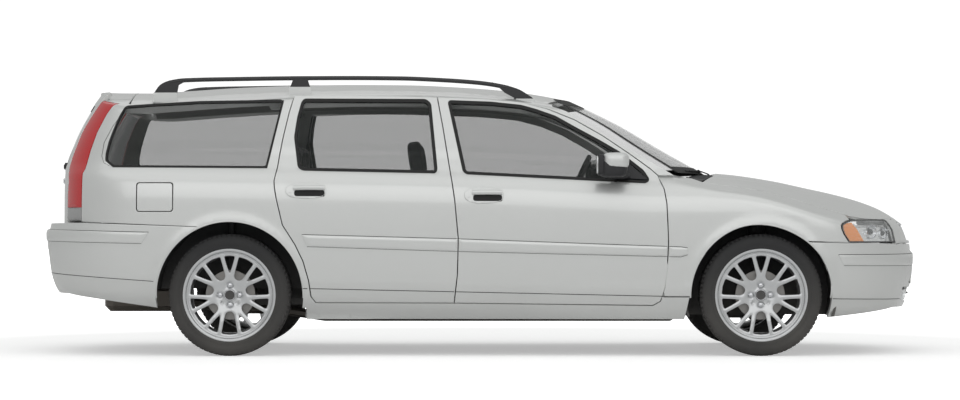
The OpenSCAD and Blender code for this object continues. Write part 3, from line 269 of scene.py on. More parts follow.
def rounded(poly, radius, n=5):
    """An outline with its corners rounded; radius may be a list, one for each corner."""
    p = np.array(poly, float)
    radii = np.broadcast_to(np.array(radius, float), (len(p),))
    out = []
    for i in range(len(p)):
        a, b, c = p[i - 1], p[i], p[(i + 1) % len(p)]
        la, lc = np.linalg.norm(a - b), np.linalg.norm(c - b)
        r = min(radii[i], 0.48 * la, 0.48 * lc)
        if r < 0.5:
            out.append(b)
            continue
        s, e = b + (a - b) / la * r, b + (c - b) / lc * r
        for k in range(n + 1):
            t = k / n
            out.append((1 - t) ** 2 * s + 2 * t * (1 - t) * b + t * t * e)
    return np.array(out)


def within(points, poly):
    """Which points lie inside an outline."""
    x, y = points[:, 0], points[:, 1]
    inside = np.zeros(len(points), bool)
    p = np.asarray(poly)
    q = np.roll(p, -1, 0)
    for (x0, y0), (x1, y1) in zip(p, q):
        if y0 == y1:
            continue
        cross = ((y0 > y) != (y1 > y)) & (x < (x1 - x0) * (y - y0) / (y1 - y0) + x0)
        inside ^= cross
    return inside


def fill(includes, excludes=(), lines=(), step=28.0, pitch=0.87, clear=0.45):
    """Triangles over the area in the first outlines and none of the others; lines add points."""
    verts, edges = [], []
    for poly in [*includes, *excludes, *lines]:
        k = len(verts)
        verts += [tuple(p) for p in poly]
        edges += [(k + i, k + (i + 1) % len(poly)) for i in range(len(poly))]

    def wanted(pts):
        ok = np.zeros(len(pts), bool)
        for p in includes:
            ok |= within(pts, p)
        for p in excludes:
            ok &= ~within(pts, p)
        return ok
    every = np.concatenate([np.asarray(p) for p in includes])
    lo, hi = every.min(0), every.max(0)
    gx, gz = np.arange(lo[0] + step / 2, hi[0], step), np.arange(lo[1] + step / 2, hi[1],
        step * pitch)
    g = np.stack(np.meshgrid(gx, gz), -1).reshape(-1, 2)
    g[:, 0] += np.where((np.arange(len(g)) // max(len(gx), 1)) % 2 == 0, 0.0, step / 2)
    g = g[wanted(g)]
    if len(g):
        g = g[nearest(g, np.array(verts)) > step * clear]
    pts = [Vector(v) for v in verts] + [Vector(v) for v in g]
    v, _, f, *_ = delaunay_2d_cdt(pts, edges, [], 0, 1e-3)
    v = np.array([tuple(p) for p in v])
    f = np.array([t for t in f if len(t) == 3])
    f = f[wanted(v[f].mean(1))]
    used, inverse = np.unique(f, return_inverse=True)
    return v[used], inverse.reshape(-1, 3)


def nearest(points, others, block=500):
    """How far each point is from the nearest of the others."""
    near = np.full(len(points), 1e9)
    for k in range(0, len(others), block):
        d = points[:, None] - others[None, k:k + block]
        near = np.minimum(near, np.sqrt((d ** 2).sum(2)).min(1))
    return near


# ---- Sheets and shells, as (points, triangles) in millimetres ----
def mirrored(sheet):
    """The same part on the other side of the car."""
    v, f = sheet
    return v * np.array([1, -1, 1]), f[:, ::-1]


def vertex_normals(v, f):
    """The normal at each point, weighted by area."""
    n = np.cross(v[f[:, 1]] - v[f[:, 0]], v[f[:, 2]] - v[f[:, 0]])
    out = np.zeros_like(v)
    for k in range(3):
        np.add.at(out, f[:, k], n)
    return out / np.maximum(np.linalg.norm(out, axis=1), 1e-12)[:, None]


def facing(sheet, direction):
    """The sheet turned so that it faces a direction, which may be a function of its points."""
    v, f = sheet
    n = np.cross(v[f[:, 1]] - v[f[:, 0]], v[f[:, 2]] - v[f[:, 0]])
    if callable(direction):
        side = np.sum(n * direction(v[f].mean(1)), 1)
    else:
        side = n @ np.array(direction, float)
    return (v, f if side.sum() > 0 else f[:, ::-1])


def rim_edges(f):
    """Directed edges that only one triangle has."""
    e = np.concatenate([f[:, [0, 1]], f[:, [1, 2]], f[:, [2, 0]]])
    top = e.max() + 1
    key = e[:, 0] * top + e[:, 1]
    back = e[:, 1] * top + e[:, 0]
    return e[~np.isin(key, back)]


def closed_out(part):
    """A closed part with its faces turned outwards."""
    v, f = part
    volume = np.sum(v[f[:, 0]] * np.cross(v[f[:, 1]], v[f[:, 2]]))
    return (v, f) if volume > 0 else (v, f[:, ::-1])


def grid_faces(rows, columns, round_rows=False, round_columns=False):
    """Triangles between the points of a grid, which may close on itself either way."""
    i, k = np.meshgrid(np.arange(rows if round_rows else rows - 1),
                       np.arange(columns if round_columns else columns - 1), indexing="ij")
    j, l = (i + 1) % rows, (k + 1) % columns
    a, b, c, d = ((x * columns + y).ravel() for x, y in ((i, k), (i, l), (j, l), (j, k)))
    return np.concatenate([np.stack([a, b, c], 1), np.stack([a, c, d], 1)])


def fan(centre, start, count):
    """Triangles from one point to a ring of points."""
    k = np.arange(count)
    return np.stack([np.full(count, centre), start + (k + 1) % count, start + k], 1)


def lathe(profile, n):
    """Points of a profile of (radius, y) turned about the Y axis."""
    p = np.array(profile, float)
    t = np.arange(n) * 2 * math.pi / n
    return np.stack([np.outer(np.sin(t), p[:, 0]), np.broadcast_to(p[:, 1], (n, len(p))),
                     np.outer(np.cos(t), p[:, 0])], -1).reshape(-1, 3)


def thicken(sheet, depth, edge=1.4):
    """A closed shell below a sheet, with a rolled rim. Depth may differ from point to point."""
    v, f = sheet
    n = vertex_normals(v, f)
    rim = rim_edges(f)
    out = np.zeros_like(v)
    d = v[rim[:, 1]] - v[rim[:, 0]]
    length = np.maximum(np.linalg.norm(d, axis=1), 1e-9)[:, None]
    for k in (0, 1):
        np.add.at(out, rim[:, k], np.cross(d / length, n[rim[:, k]]))
    size = np.linalg.norm(out, axis=1)
    on = size > 1e-9
    out[on] /= size[on][:, None]
    depth = np.broadcast_to(np.asarray(depth, float), (len(v),))[:, None]
    ids = np.unique(rim)
    place = np.full(len(v), -1)
    place[ids] = np.arange(len(ids))
    count = len(v)
    mid = v[ids] - (out[ids] + n[ids]) * edge * ROLL
    verts = [v - out * edge, mid, v[ids] - n[ids] * edge, v - n * depth]
    top = rim.T
    middle = place[top] + count
    low = middle + len(ids)
    base = top + count + 2 * len(ids)
    faces = [f, f[:, ::-1] + count + 2 * len(ids)]
    for (p0, p1), (q0, q1) in ((top, middle), (middle, low), (low, base)):
        faces += [np.stack([p0, q0, q1], 1), np.stack([p0, q1, p1], 1)]
    return closed_out((np.concatenate(verts), np.concatenate(faces)))


def sunk(sheet, by):
    """A sheet moved in along its normals."""
    return sheet[0] - vertex_normals(*sheet) * by, sheet[1]


def moved(part, by):
    """A part moved by a vector."""
    return part[0] + np.array(by, float), part[1]


def joined(parts):
    """Several parts as one list of points and triangles."""
    k, vs, fs = 0, [], []
    for v, f in parts:
        vs.append(v)
        fs.append(np.asarray(f) + k)
        k += len(v)
    return np.concatenate(vs), np.concatenate(fs)


def both(parts):
    """Parts of the right side with their copies on the left."""
    parts = list(parts)
    return parts + [mirrored(p) for p in parts]


def outward(c):
    """Away from the middle of the car."""
    d = c - np.array([0, 0, 500.0])
    d[:, 0] = np.sign(d[:, 0]) * np.maximum(np.abs(d[:, 0]) - 1300, 0)
    return d


def away(points):
    """The outward directions at length one."""
    n = outward(points)
    return n / np.linalg.norm(n, axis=1)[:, None]


# ---- Simple solids ----
def tube(path, radius, n=12, closed=False, flat=1.0):
    """A round bar along points; radius may change along it."""
    p = np.array(path, float)
    m = len(p)
    r = np.broadcast_to(np.array(radius, float), (m,))
    tangent = (np.roll(p, -1, 0) - np.roll(p, 1, 0)) if closed else np.gradient(p, axis=0)
    tangent /= np.maximum(np.linalg.norm(tangent, axis=1), 1e-9)[:, None]
    up = np.array([0.0, 0.0, 1.0]) if abs(tangent[:, 2]).mean() < 0.8 else np.array([0.0, 1.0, 0.0])
    sideways = np.cross(tangent, up)
    sideways /= np.maximum(np.linalg.norm(sideways, axis=1), 1e-9)[:, None]
    t = np.arange(n) * 2 * math.pi / n
    ring = np.cos(t)[None, :, None] * sideways[:, None] \
        + flat * np.sin(t)[None, :, None] * np.cross(sideways, tangent)[:, None]
    v = (p[:, None] + r[:, None, None] * ring).reshape(-1, 3)
    f = grid_faces(m, n, closed, True)
    if not closed:
        v = np.concatenate([v, [p[0], p[-1]]])
        f = np.concatenate([f, fan(m * n, 0, n), fan(m * n + 1, (m - 1) * n, n)[:, ::-1]])
    return closed_out((v, f))


def bent(points, count):
    """A chain of points laid through the given ones, an equal number between each two."""
    p = np.array(points, float)
    t = np.linspace(0, len(p) - 1, count)
    return np.stack([np.interp(t, range(len(p)), p[:, k]) for k in range(p.shape[1])], 1)


def brick(low, high, bevel=3.0, levels=2):
    """A block with rounded edges."""
    bm = bmesh.new()
    bmesh.ops.create_cube(bm, size=1)
    low, high = np.array(low, float), np.array(high, float)
    for v in bm.verts:
        v.co = Vector((low + high) / 2 + np.array(v.co) * (high - low))
    bmesh.ops.bevel(bm, geom=bm.edges[:], offset=min(bevel, 0.45 * (high - low).min()),
                    segments=levels, affect="EDGES", profile=0.6)
    bmesh.ops.triangulate(bm, faces=bm.faces[:])
    bm.verts.ensure_lookup_table()
    v = np.array([tuple(x.co) for x in bm.verts])
    f = np.array([[x.index for x in y.verts] for y in bm.faces])
    bm.free()
    return v, f


def turn(part, axis, degrees, about=(0, 0, 0)):
    """A part turned about an axis through a point."""
    a, r = np.array(axis, float), math.radians(degrees)
    a /= np.linalg.norm(a)
    k = np.array([[0, -a[2], a[1]], [a[2], 0, -a[0]], [-a[1], a[0], 0]])
    m = np.eye(3) + math.sin(r) * k + (1 - math.cos(r)) * k @ k
    c = np.array(about, float)
    return (part[0] - c) @ m.T + c, part[1]


def raised(outline, low, high, edge):
    """A flat plate in the wheel's plane from an outline of (across, up), between two distances."""
    v, f = fill([outline], step=12.0, pitch=1.0, clear=0.4)
    p = np.stack([v[:, 0], np.full(len(v), high, float), v[:, 1]], 1)
    return thicken(facing((p, f), (0, 1, 0)), high - low, edge)


def ring_solid(profile, n=96):
    """A closed loop of (radius, y) turned about the Y axis."""
    return closed_out((lathe(profile, n), grid_faces(n, len(profile), True, True)))


def cap_solid(profile, n=64):
    """A profile of (radius, y) that starts and ends on the Y axis, turned about it."""
    m = len(profile) - 2
    v = np.concatenate([lathe(profile[1:-1], n), [[0, profile[0][1], 0], [0, profile[-1][1], 0]]])
    i = np.arange(n)
    j = (i + 1) % n
    ends = [np.stack([np.full(n, n * m), i * m, j * m], 1),
            np.stack([np.full(n, n * m + 1), j * m + m - 1, i * m + m - 1], 1)]
    return closed_out((v, np.concatenate([grid_faces(n, m, True), *ends])))


def pillow(low, high, power=0.35, rows=22, cols=40, shape=None):
    """A rounded block. The lower its power, the squarer it is; shape may bend it further."""
    low, high = np.array(low, float), np.array(high, float)
    a = np.linspace(-math.pi / 2, math.pi / 2, rows + 1)[1:-1]
    b = np.arange(cols) * 2 * math.pi / cols

    def pw(q):
        return np.sign(q) * np.abs(q) ** power
    ring = np.stack([np.outer(pw(np.cos(a)), pw(np.cos(b))), np.outer(pw(np.cos(a)), pw(np.sin(b))),
                     np.outer(pw(np.sin(a)), np.ones(cols))], -1).reshape(-1, 3)
    u = np.concatenate([ring, [[0, 0, -1], [0, 0, 1]]])
    if shape:
        u = shape(u)
    m = rows - 1
    f = [grid_faces(m, cols, False, True), fan(m * cols, 0, cols),
         fan(m * cols + 1, (m - 1) * cols, cols)[:, ::-1]]
    return closed_out(((low + high) / 2 + u * (high - low) / 2, np.concatenate(f)))


# ---- The flank and a top sheet as one surface of (w, s) ----
class Shoulder:
    """s is the height on the flank; above the crease it is the crease's plus the run inwards."""

    def __init__(self, top, low, high, radius):
        self.top, self.radius = top, radius
        self.w = np.linspace(TAIL_W, NOSE_W, 4000)
        lo, hi = np.full(self.w.shape, float(low)), np.full(self.w.shape, float(high))
        for _ in range(36):
            mid = (lo + hi) / 2
            x, y = skin_xy(self.w, mid)
            under = mid < top(x, y)
            lo, hi = np.where(under, mid, lo), np.where(under, hi, mid)
        self.z = lo
        self.x, self.y = skin_xy(self.w, lo)
        tx, ty = np.gradient(self.x, self.w), np.gradient(self.y, self.w)
        size = np.maximum(np.hypot(tx, ty), 1e-9)
        self.nx, self.ny = ty / size, -tx / size

    def crease(self, w):
        return np.interp(w, self.w, self.z)

    def over(self, w, run):
        x = np.interp(w, self.w, self.x) + run * np.interp(w, self.w, self.nx)
        y = np.interp(w, self.w, self.y) + run * np.interp(w, self.w, self.ny)
        return np.stack([x, -y, self.top(x, np.abs(y))], 1)

    def __call__(self, w, s):
        zc, r = self.crease(w), self.radius
        side = flank_point(w, np.minimum(s, zc - r))
        top = self.over(w, np.maximum(s - zc, r))
        corner = np.stack([np.interp(w, self.w, self.x), -np.interp(w, self.w, self.y), zc], 1)
        u = np.clip((s - zc + r) / (2 * r), 0, 1)[:, None]
        bend = (1 - u) ** 2 * side + 2 * u * (1 - u) * corner + u * u * top
        return np.where(u <= 0, side, np.where(u >= 1, top, bend))

    def place(self, points):
        """(w, s) of points (x, y) of the plan."""
        out = []
        for x, y in np.asarray(points, float):
            d = np.hypot(self.x - x, self.y - abs(y))
            k = int(np.argmin(d))
            out.append((self.w[k], self.z[k] + d[k]))
        return np.array(out)


bonnet_side = Shoulder(bonnet_height, 520, 1100, 26)
roof_side = Shoulder(roof_height, 1290, 1460, 16)


def unroll(poly, closed=True, step=16.0, tail=tail_at):
    """An outline of the side view, (x, z), laid on the unrolled skin."""
    p = dense(poly, step, closed)
    return np.stack([w_of_x(p[:, 0], p[:, 1], tail), p[:, 1]], 1)


def circle(cx, cz, r, n=96, start=0.0, end=360.0, closed=True):
    """Points of a circle or of an arc, in degrees."""
    a = np.radians(np.linspace(start, end, n, endpoint=not closed))
    return np.stack([cx + r * np.cos(a), cz + r * np.sin(a)], 1)


def sheet_of(includes, excludes, surface, step=26.0, ring=4.0):
    """A sheet on a surface, from outlines in its own plane."""
    lines = [grow(p, -ring) for p in includes] + [grow(p, ring) for p in excludes] if ring else []
    v, f = fill(includes, excludes, lines, step)
    return surface(v[:, 0], v[:, 1]), f


def flank(includes, excludes, step=26.0, surface=flank_point, ring=4.0):
    """A sheet of the right side, facing out."""
    return facing(sheet_of(includes, excludes, surface, step, ring), outward)


# ---- Materials ----
def node_group(name, given, wanted):
    """A shader group with the given inputs and wanted outputs."""
    tree = bpy.data.node_groups.new(name, "ShaderNodeTree")
    for label, default in given.items():
        kind = "NodeSocketColor" if isinstance(default, tuple) else "NodeSocketFloat"
        tree.interface.new_socket(name=label, in_out="INPUT",
                                  socket_type=kind).default_value = default
    for label, kind in wanted.items():
        tree.interface.new_socket(name=label, in_out="OUTPUT", socket_type="NodeSocket" + kind)
    return tree, tree.nodes.new("NodeGroupInput").outputs, tree.nodes.new("NodeGroupOutput")


def node(tree, kind, inputs=None, **settings):
    """A node with its settings, each input linked to an output or given a value."""
    made = tree.nodes.new(kind)
    for key, value in settings.items():
        setattr(made, key, value)
    for key, value in (inputs or {}).items():
        if isinstance(value, bpy.types.NodeSocket):
            tree.links.new(value, made.inputs[key])
        else:
            made.inputs[key].default_value = value
    return made


def maths(tree, operation, *values, **settings):
    """The output of a math node."""
    return node(tree, "ShaderNodeMath", dict(enumerate(values)), operation=operation,
                **settings).outputs[0]


def finish_group():
    """Fine and broad variation of a finish: a colour, a roughness and a normal."""
    old = bpy.data.node_groups.get("Finish")
    if old:
        return old
    tree, given, out = node_group(
        "Finish", {"Color": (0.5, 0.5, 0.5, 1), "Roughness": 0.5, "Scale": 200.0, "Grain": 0.1,
                   "Variation": 0.05,
                   "Dust": 0.0}, {"Color": "Color", "Roughness": "Float", "Normal": "Vector"})
    here = node(tree, "ShaderNodeTexCoord").outputs["Object"]
    fine = node(tree, "ShaderNodeTexNoise",
                {"Vector": here, "Scale": given["Scale"], "Detail": 3}).outputs[0]
    broad = node(tree, "ShaderNodeTexNoise", {"Vector": here, "Scale": 3.1, "Detail": 4}).outputs[0]
    shift = maths(tree, "SUBTRACT", broad, 0.5)
    share = maths(tree, "MULTIPLY_ADD", shift, given["Variation"], 1.0)
    tone = node(tree, "ShaderNodeVectorMath", {0: given["Color"], "Scale": share},
                operation="SCALE")
    height = node(tree, "ShaderNodeSeparateXYZ", {0: here}).outputs["Z"]
    low = node(tree, "ShaderNodeMapRange",
               {"From Min": 0.55, "From Max": 0.1, "Value": height}).outputs[0]
    patch = maths(tree, "MULTIPLY", maths(tree, "MULTIPLY", low, given["Dust"]), broad)
    mix = node(tree, "ShaderNodeMix", data_type="RGBA")
    for key, source in (("Factor", patch), (6, tone.outputs[0])):
        tree.links.new(source, mix.inputs[key])
    mix.inputs[7].default_value = (0.32, 0.30, 0.27, 1)
    rough = maths(tree, "MULTIPLY_ADD", shift, given["Variation"], given["Roughness"])
    more = maths(tree, "MULTIPLY_ADD", patch, 0.35, rough, use_clamp=True)
    bump = node(tree, "ShaderNodeBump",
                {"Distance": 0.0006, "Strength": given["Grain"], "Height": fine})
    for key, source in (("Color", mix.outputs[2]), ("Roughness", more),
                        ("Normal", bump.outputs[0])):
        tree.links.new(source, out.inputs[key])
    return tree


def weave_group():
    """Woven cloth: threads over and under."""
    old = bpy.data.node_groups.get("Weave")
    if old:
        return old
    tree, given, out = node_group("Weave", {"Color": (0.1, 0.1, 0.1, 1), "Scale": 500.0},
                                  {"Color": "Color", "Normal": "Vector"})
    here = node(tree, "ShaderNodeTexCoord").outputs["Object"]
    waves = [node(tree, "ShaderNodeTexWave", {"Vector": here, "Scale": given["Scale"]},
                  bands_direction=axis).outputs["Fac"] for axis in ("X", "Z")]
    cross = maths(tree, "MULTIPLY", *waves)
    spread = node(tree, "ShaderNodeMapRange",
                  {"To Min": 0.75, "To Max": 1.3, "Value": cross}).outputs[0]
    tone = node(tree, "ShaderNodeVectorMath", {0: given["Color"], "Scale": spread},
                operation="SCALE")
    bump = node(tree, "ShaderNodeBump", {"Strength": 0.4, "Distance": 0.001, "Height": cross})
    tree.links.new(tone.outputs[0], out.inputs["Color"])
    tree.links.new(bump.outputs[0], out.inputs["Normal"])
    return tree


def flake_group():
    """Metal flakes under a clear coat: tilted cells."""
    old = bpy.data.node_groups.get("Flakes")
    if old:
        return old
    tree, given, out = node_group("Flakes", {"Scale": 900.0, "Tilt": 0.06}, {"Normal": "Vector"})
    here = node(tree, "ShaderNodeTexCoord").outputs["Object"]
    cells = node(tree, "ShaderNodeTexVoronoi",
                 {"Vector": here, "Scale": given["Scale"]}).outputs["Color"]
    bump = node(tree, "ShaderNodeBump",
                {"Distance": 0.0004, "Strength": given["Tilt"], "Height": cells})
    tree.links.new(bump.outputs[0], out.inputs["Normal"])
    return tree


def material(name, color, rough, metal=0.0, coat=0.0, alpha=1.0, scale=220.0, grain=0.1,
             variation=0.05,
             dust=0.0, glow=0.0, cloth=False, flakes=False):
    """A Principled material with the shared finish."""
    found = bpy.data.materials.get(name)
    if found:
        return found
    mat = bpy.data.materials.new(name)
    mat.use_nodes = True
    tree = mat.node_tree
    bsdf = tree.nodes["Principled BSDF"]
    values = {"Color": (*color, 1), "Scale": scale}
    if not cloth:
        values.update({"Roughness": rough, "Grain": grain, "Variation": variation, "Dust": dust})
    group = node(tree, "ShaderNodeGroup", node_tree=weave_group() if cloth else finish_group())
    for key, value in values.items():
        group.inputs[key].default_value = value
    if cloth:
        bsdf.inputs["Roughness"].default_value = rough
        bsdf.inputs["Sheen Weight"].default_value = 0.25
    else:
        tree.links.new(group.outputs["Roughness"], bsdf.inputs["Roughness"])
    tree.links.new(group.outputs["Color"], bsdf.inputs["Base Color"])
    relief = node(tree, "ShaderNodeGroup", node_tree=flake_group()) if flakes else group
    tree.links.new(relief.outputs["Normal"], bsdf.inputs["Normal"])
    for key, value in (("Metallic", metal), ("Coat Weight", coat), ("Coat Roughness", 0.03),
                       ("Alpha", alpha)):
        bsdf.inputs[key].default_value = value
    if glow:
        bsdf.inputs["Emission Color"].default_value = (*color, 1)
        bsdf.inputs["Emission Strength"].default_value = glow
    return mat


def kit():
    """Every material of the car, by name."""
    look = bpy.context.scene.wagon_look
    return {
        "paint": material("Silver paint", tuple(look.paint), look.paint_roughness, 0.45, 1.0,
                          grain=0.02, variation=0.02,
                          dust=0.25, flakes=True),
        "trim": material("Black trim", (0.018, 0.018, 0.02), 0.5, grain=0.5, scale=900, dust=0.2),
        "seal": material("Rubber seal", (0.012, 0.012, 0.012), 0.7, grain=0.3, scale=500),
        "gloss": material("Gloss black", (0.01, 0.01, 0.012), 0.15, coat=0.5, grain=0.02),
        "glass": material("Tinted glass", tuple(look.glass), 0.03, alpha=look.glass_tint, grain=0.0,
                          variation=0.0),
        "clear": material("Clear lens", (0.8, 0.82, 0.82), 0.04, alpha=0.14, grain=0.0,
                          variation=0.0),
        "red": material("Red lens", tuple(look.tail_lamp), 0.08, coat=0.8, glow=0.06, grain=0.05,
                        scale=300),
        "smoke": material("Grey lens", (0.42, 0.42, 0.42), 0.12, coat=0.6, alpha=0.85, grain=0.05,
                          scale=300),
        "amber": material("Amber lens", (0.82, 0.27, 0.02), 0.15, coat=0.5, glow=0.08, grain=0.1,
                          scale=300),
        # Mirror-like metal for the lamp reflectors, lamp ribs and the door mirrors' glass; its glow
        # is painted light, since none of these parts is a lamp
        "mirror": material("Reflector with painted glow", (0.85, 0.86, 0.86), 0.22, 0.9, grain=0.02, glow=0.1),
        "chrome": material("Bright strip", (0.7, 0.71, 0.73), 0.12, 1.0, grain=0.02),
        "alloy": material("Silver alloy", tuple(look.wheel), 0.3, 0.75, 0.6, grain=0.1, scale=700,
                          dust=0.2),
        "alloy_dark": material("Alloy behind", (0.2, 0.2, 0.21), 0.45, 0.7, grain=0.2, scale=500,
                               dust=0.3),
        "steel": material("Brake steel", (0.3, 0.29, 0.28), 0.35, 0.9, grain=0.3, scale=800),
        "iron": material("Cast iron", (0.07, 0.068, 0.066), 0.65, 0.5, grain=0.8, scale=260,
                         dust=0.3),
        "tyre": material("Tyre rubber", (0.022, 0.022, 0.023), 0.72, grain=0.5, scale=420,
                         variation=0.15,
                         dust=0.35),
        "cloth": material("Seat cloth", tuple(look.seat), 0.95, scale=260, cloth=True),
        "vinyl": material("Cabin plastic", (0.05, 0.05, 0.054), 0.62, grain=0.8, scale=1200),
        "liner": material("Head lining", (0.36, 0.355, 0.34), 0.95, scale=420, cloth=True),
        "under": material("Underbody", (0.04, 0.041, 0.043), 0.7, grain=0.7, scale=160, dust=0.5),
        "plate": material("Plain plate", (0.7, 0.7, 0.68), 0.4, coat=0.3, grain=0.1),
        "rail": material("Rail black", (0.02, 0.02, 0.022), 0.38, coat=0.2, grain=0.3, scale=900),
        "exhaust": material("Exhaust steel", (0.2, 0.18, 0.16), 0.5, 0.8, grain=0.5, scale=120,
                            dust=0.5),
    }


def put(name, parts, look, body="body", smooth=38.0, replaces=()):
    v, f = joined(parts) if isinstance(parts, list) else parts
    mesh = bpy.data.meshes.new(name)
    mesh.vertices.add(len(v))
    mesh.vertices.foreach_set("co", (np.asarray(v) * MM).astype(np.float32).ravel())
    mesh.loops.add(len(f) * 3)
    mesh.loops.foreach_set("vertex_index", np.asarray(f, np.int32).ravel())
    mesh.polygons.add(len(f))
    mesh.polygons.foreach_set("loop_start", np.arange(0, len(f) * 3, 3, dtype=np.int32))
    mesh.update(calc_edges=True)
    mesh.validate()
    mesh.materials.append(kit()[look])
    mesh.shade_smooth()
    mesh.set_sharp_from_angle(angle=math.radians(smooth))
    obj = bpy.data.objects.new(name, mesh)
    bpy.context.scene.collection.objects.link(obj)
    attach(obj, body)
    if replaces:
        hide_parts(*replaces)


def refinish(node_name, look):
    """A CAD node shown in a finish of this scene."""
    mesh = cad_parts[node_name].data
    mesh.materials.clear()
    mesh.materials.append(kit()[look])
    for p in mesh.polygons:
        p.material_index = 0
    mesh.shade_smooth()
    mesh.set_sharp_from_angle(angle=math.radians(32))


def repeated(name, source, count, look, around=0.0, along=(0, 0, 0)):
    """Copies of a part as one mesh, round the Y axis or along a step, made by geometry nodes."""
    tree = bpy.data.node_groups.new(name + "_repeat", "GeometryNodeTree")
    for label, kind in (("Geometry", "Geometry"), ("Count", "Int"), ("Offset", "Vector"),
                        ("Turn", "Vector"),
                        ("Material", "Material")):
        tree.interface.new_socket(name=label, in_out="INPUT", socket_type="NodeSocket" + kind)
    tree.interface.new_socket(name="Geometry", in_out="OUTPUT", socket_type="NodeSocketGeometry")
    given = node(tree, "NodeGroupInput").outputs
    index = node(tree, "GeometryNodeInputIndex").outputs[0]
    place, angle = (node(tree, "ShaderNodeVectorMath", {0: given[key], "Scale": index},
                         operation="SCALE").outputs[0] for key in ("Offset", "Turn"))
    points = node(tree, "GeometryNodePoints",
                  {"Count": given["Count"], "Position": place}).outputs[0]
    copies = node(tree, "GeometryNodeInstanceOnPoints",
                  {"Points": points, "Instance": given["Geometry"], "Rotation": angle}).outputs[0]
    real = node(tree, "GeometryNodeRealizeInstances", {0: copies}).outputs[0]
    done = node(tree, "GeometryNodeSetMaterial",
                {"Geometry": real, "Material": given["Material"]}).outputs[0]
    node(tree, "NodeGroupOutput", {0: done})
    v, f = joined(source) if isinstance(source, list) else source
    mesh = bpy.data.meshes.new(name + "_unit")
    mesh.from_pydata((np.asarray(v) * MM).tolist(), [], np.asarray(f).tolist())
    obj = bpy.data.objects.new(name + "_unit", mesh)
    bpy.context.scene.collection.objects.link(obj)
    mod = obj.modifiers.new("Repeat", "NODES")
    mod.node_group = tree
    ids = {s.name: s.identifier for s in tree.interface.items_tree if s.in_out == "INPUT"}
    mod[ids["Count"]] = count
    mod[ids["Offset"]] = [c * MM for c in along]
    mod[ids["Turn"]] = [0.0, math.radians(around), 0.0]
    mod[ids["Material"]] = kit()[look]
    flat = bpy.data.meshes.new_from_object(obj.evaluated_get(bpy.context.evaluated_depsgraph_get()))
    points = np.empty(len(flat.vertices) * 3, np.float32)
    flat.vertices.foreach_get("co", points)
    flat.calc_loop_triangles()
    tris = np.empty(len(flat.loop_triangles) * 3, np.int32)
    flat.loop_triangles.foreach_get("vertices", tris)
    bpy.data.objects.remove(obj)
    for used in (mesh, flat):
        bpy.data.meshes.remove(used)
    bpy.data.node_groups.remove(tree)
    return points.reshape(-1, 3).astype(float) / MM, tris.reshape(-1, 3)


SIDES = (("right", 1), ("left", -1))


def size(key):
    """A size set in the panel, in millimetres."""
    return round(getattr(bpy.context.scene.wagon_sizes, key) / MM, 4)


def sided(parts, sign):
    """Right-hand parts, or their mirrored copies for the left."""
    parts = parts if isinstance(parts, list) else [parts]
    return parts if sign > 0 else [mirrored(p) for p in parts]


def lifted(surface, w, z, lift):
    """Points of a surface moved along its normal."""
    a = surface(w + 2, z) - surface(w - 2, z)
    b = surface(w, z + 2) - surface(w, z - 2)
    n = np.cross(a, b)
    n /= np.maximum(np.linalg.norm(n, axis=1), 1e-9)[:, None]
    p = surface(w, z) + n * np.broadcast_to(np.asarray(lift, float), w.shape)[:, None]
    p[:, 0] = np.clip(p[:, 0], -FULL_HALF, FULL_HALF)
    return p


def moulding(top, bottom, rise=None, surface=flank_point, tail=tail_at, step=14.0):
    """A raised strip along the flank between two lines of (x, z), with a rounded section."""
    rise = size("strip_rise") if rise is None else rise
    a, b = np.array(top, float), np.array(bottom, float)
    n = max(4, int(np.ceil(np.abs(a[-1, 0] - a[0, 0]) / step)))
    lines = []
    for p in (a, b):
        run = np.concatenate([[0], np.cumsum(np.abs(np.diff(p[:, 0])))])
        q = np.linspace(0, run[-1], n)
        x, z = np.interp(q, run, p[:, 0]), np.interp(q, run, p[:, 1])
        lines.append((w_of_x(x, z, tail), z))
    rows = []
    inside = np.minimum(np.arange(n), np.arange(n)[::-1]) > 0
    for t, lift in STRIP_SECTION:
        w, z = (lines[0][k] * (1 - t) + lines[1][k] * t for k in (0, 1))
        rows.append(lifted(surface, w, z,
                           np.where(inside, lift, min(lift, 0.5)) * (rise if lift > 0 else 1)))
    m = len(rows)
    f = [grid_faces(m, n, True)]
    for at, order in ((0, 1), (n - 1, -1)):
        ring = (np.arange(m) * n + at)[::order]
        f.append(np.array([[ring[0], ring[q], ring[q + 1]] for q in range(1, m - 1)]))
    return closed_out((np.concatenate(rows), np.concatenate(f)))


def seam(points, surface=flank_point, tail=tail_at, radius=None, lift=0.4):
    """A thin dark line laid on the skin through points of the side view."""
    p = unroll(points, False, 18.0, tail)
    return tube(lifted(surface, p[:, 0], p[:, 1], lift), radius or size("seam_radius"), 6)


def along(line, start, stop):
    """The part of a line of (x, z) between two values of x."""
    p = np.array(line, float)
    inner = p[(p[:, 0] > start) & (p[:, 0] < stop)]
    ends = [[x, float(np.interp(x, p[:, 0], p[:, 1]))] for x in (start, stop)]
    return np.array([ends[0], *inner.tolist(), ends[1]])


def arch(axle, radius, n=120):
    """The outline of a wheel opening."""
    return circle(axle, AXLE_Z, radius, n)


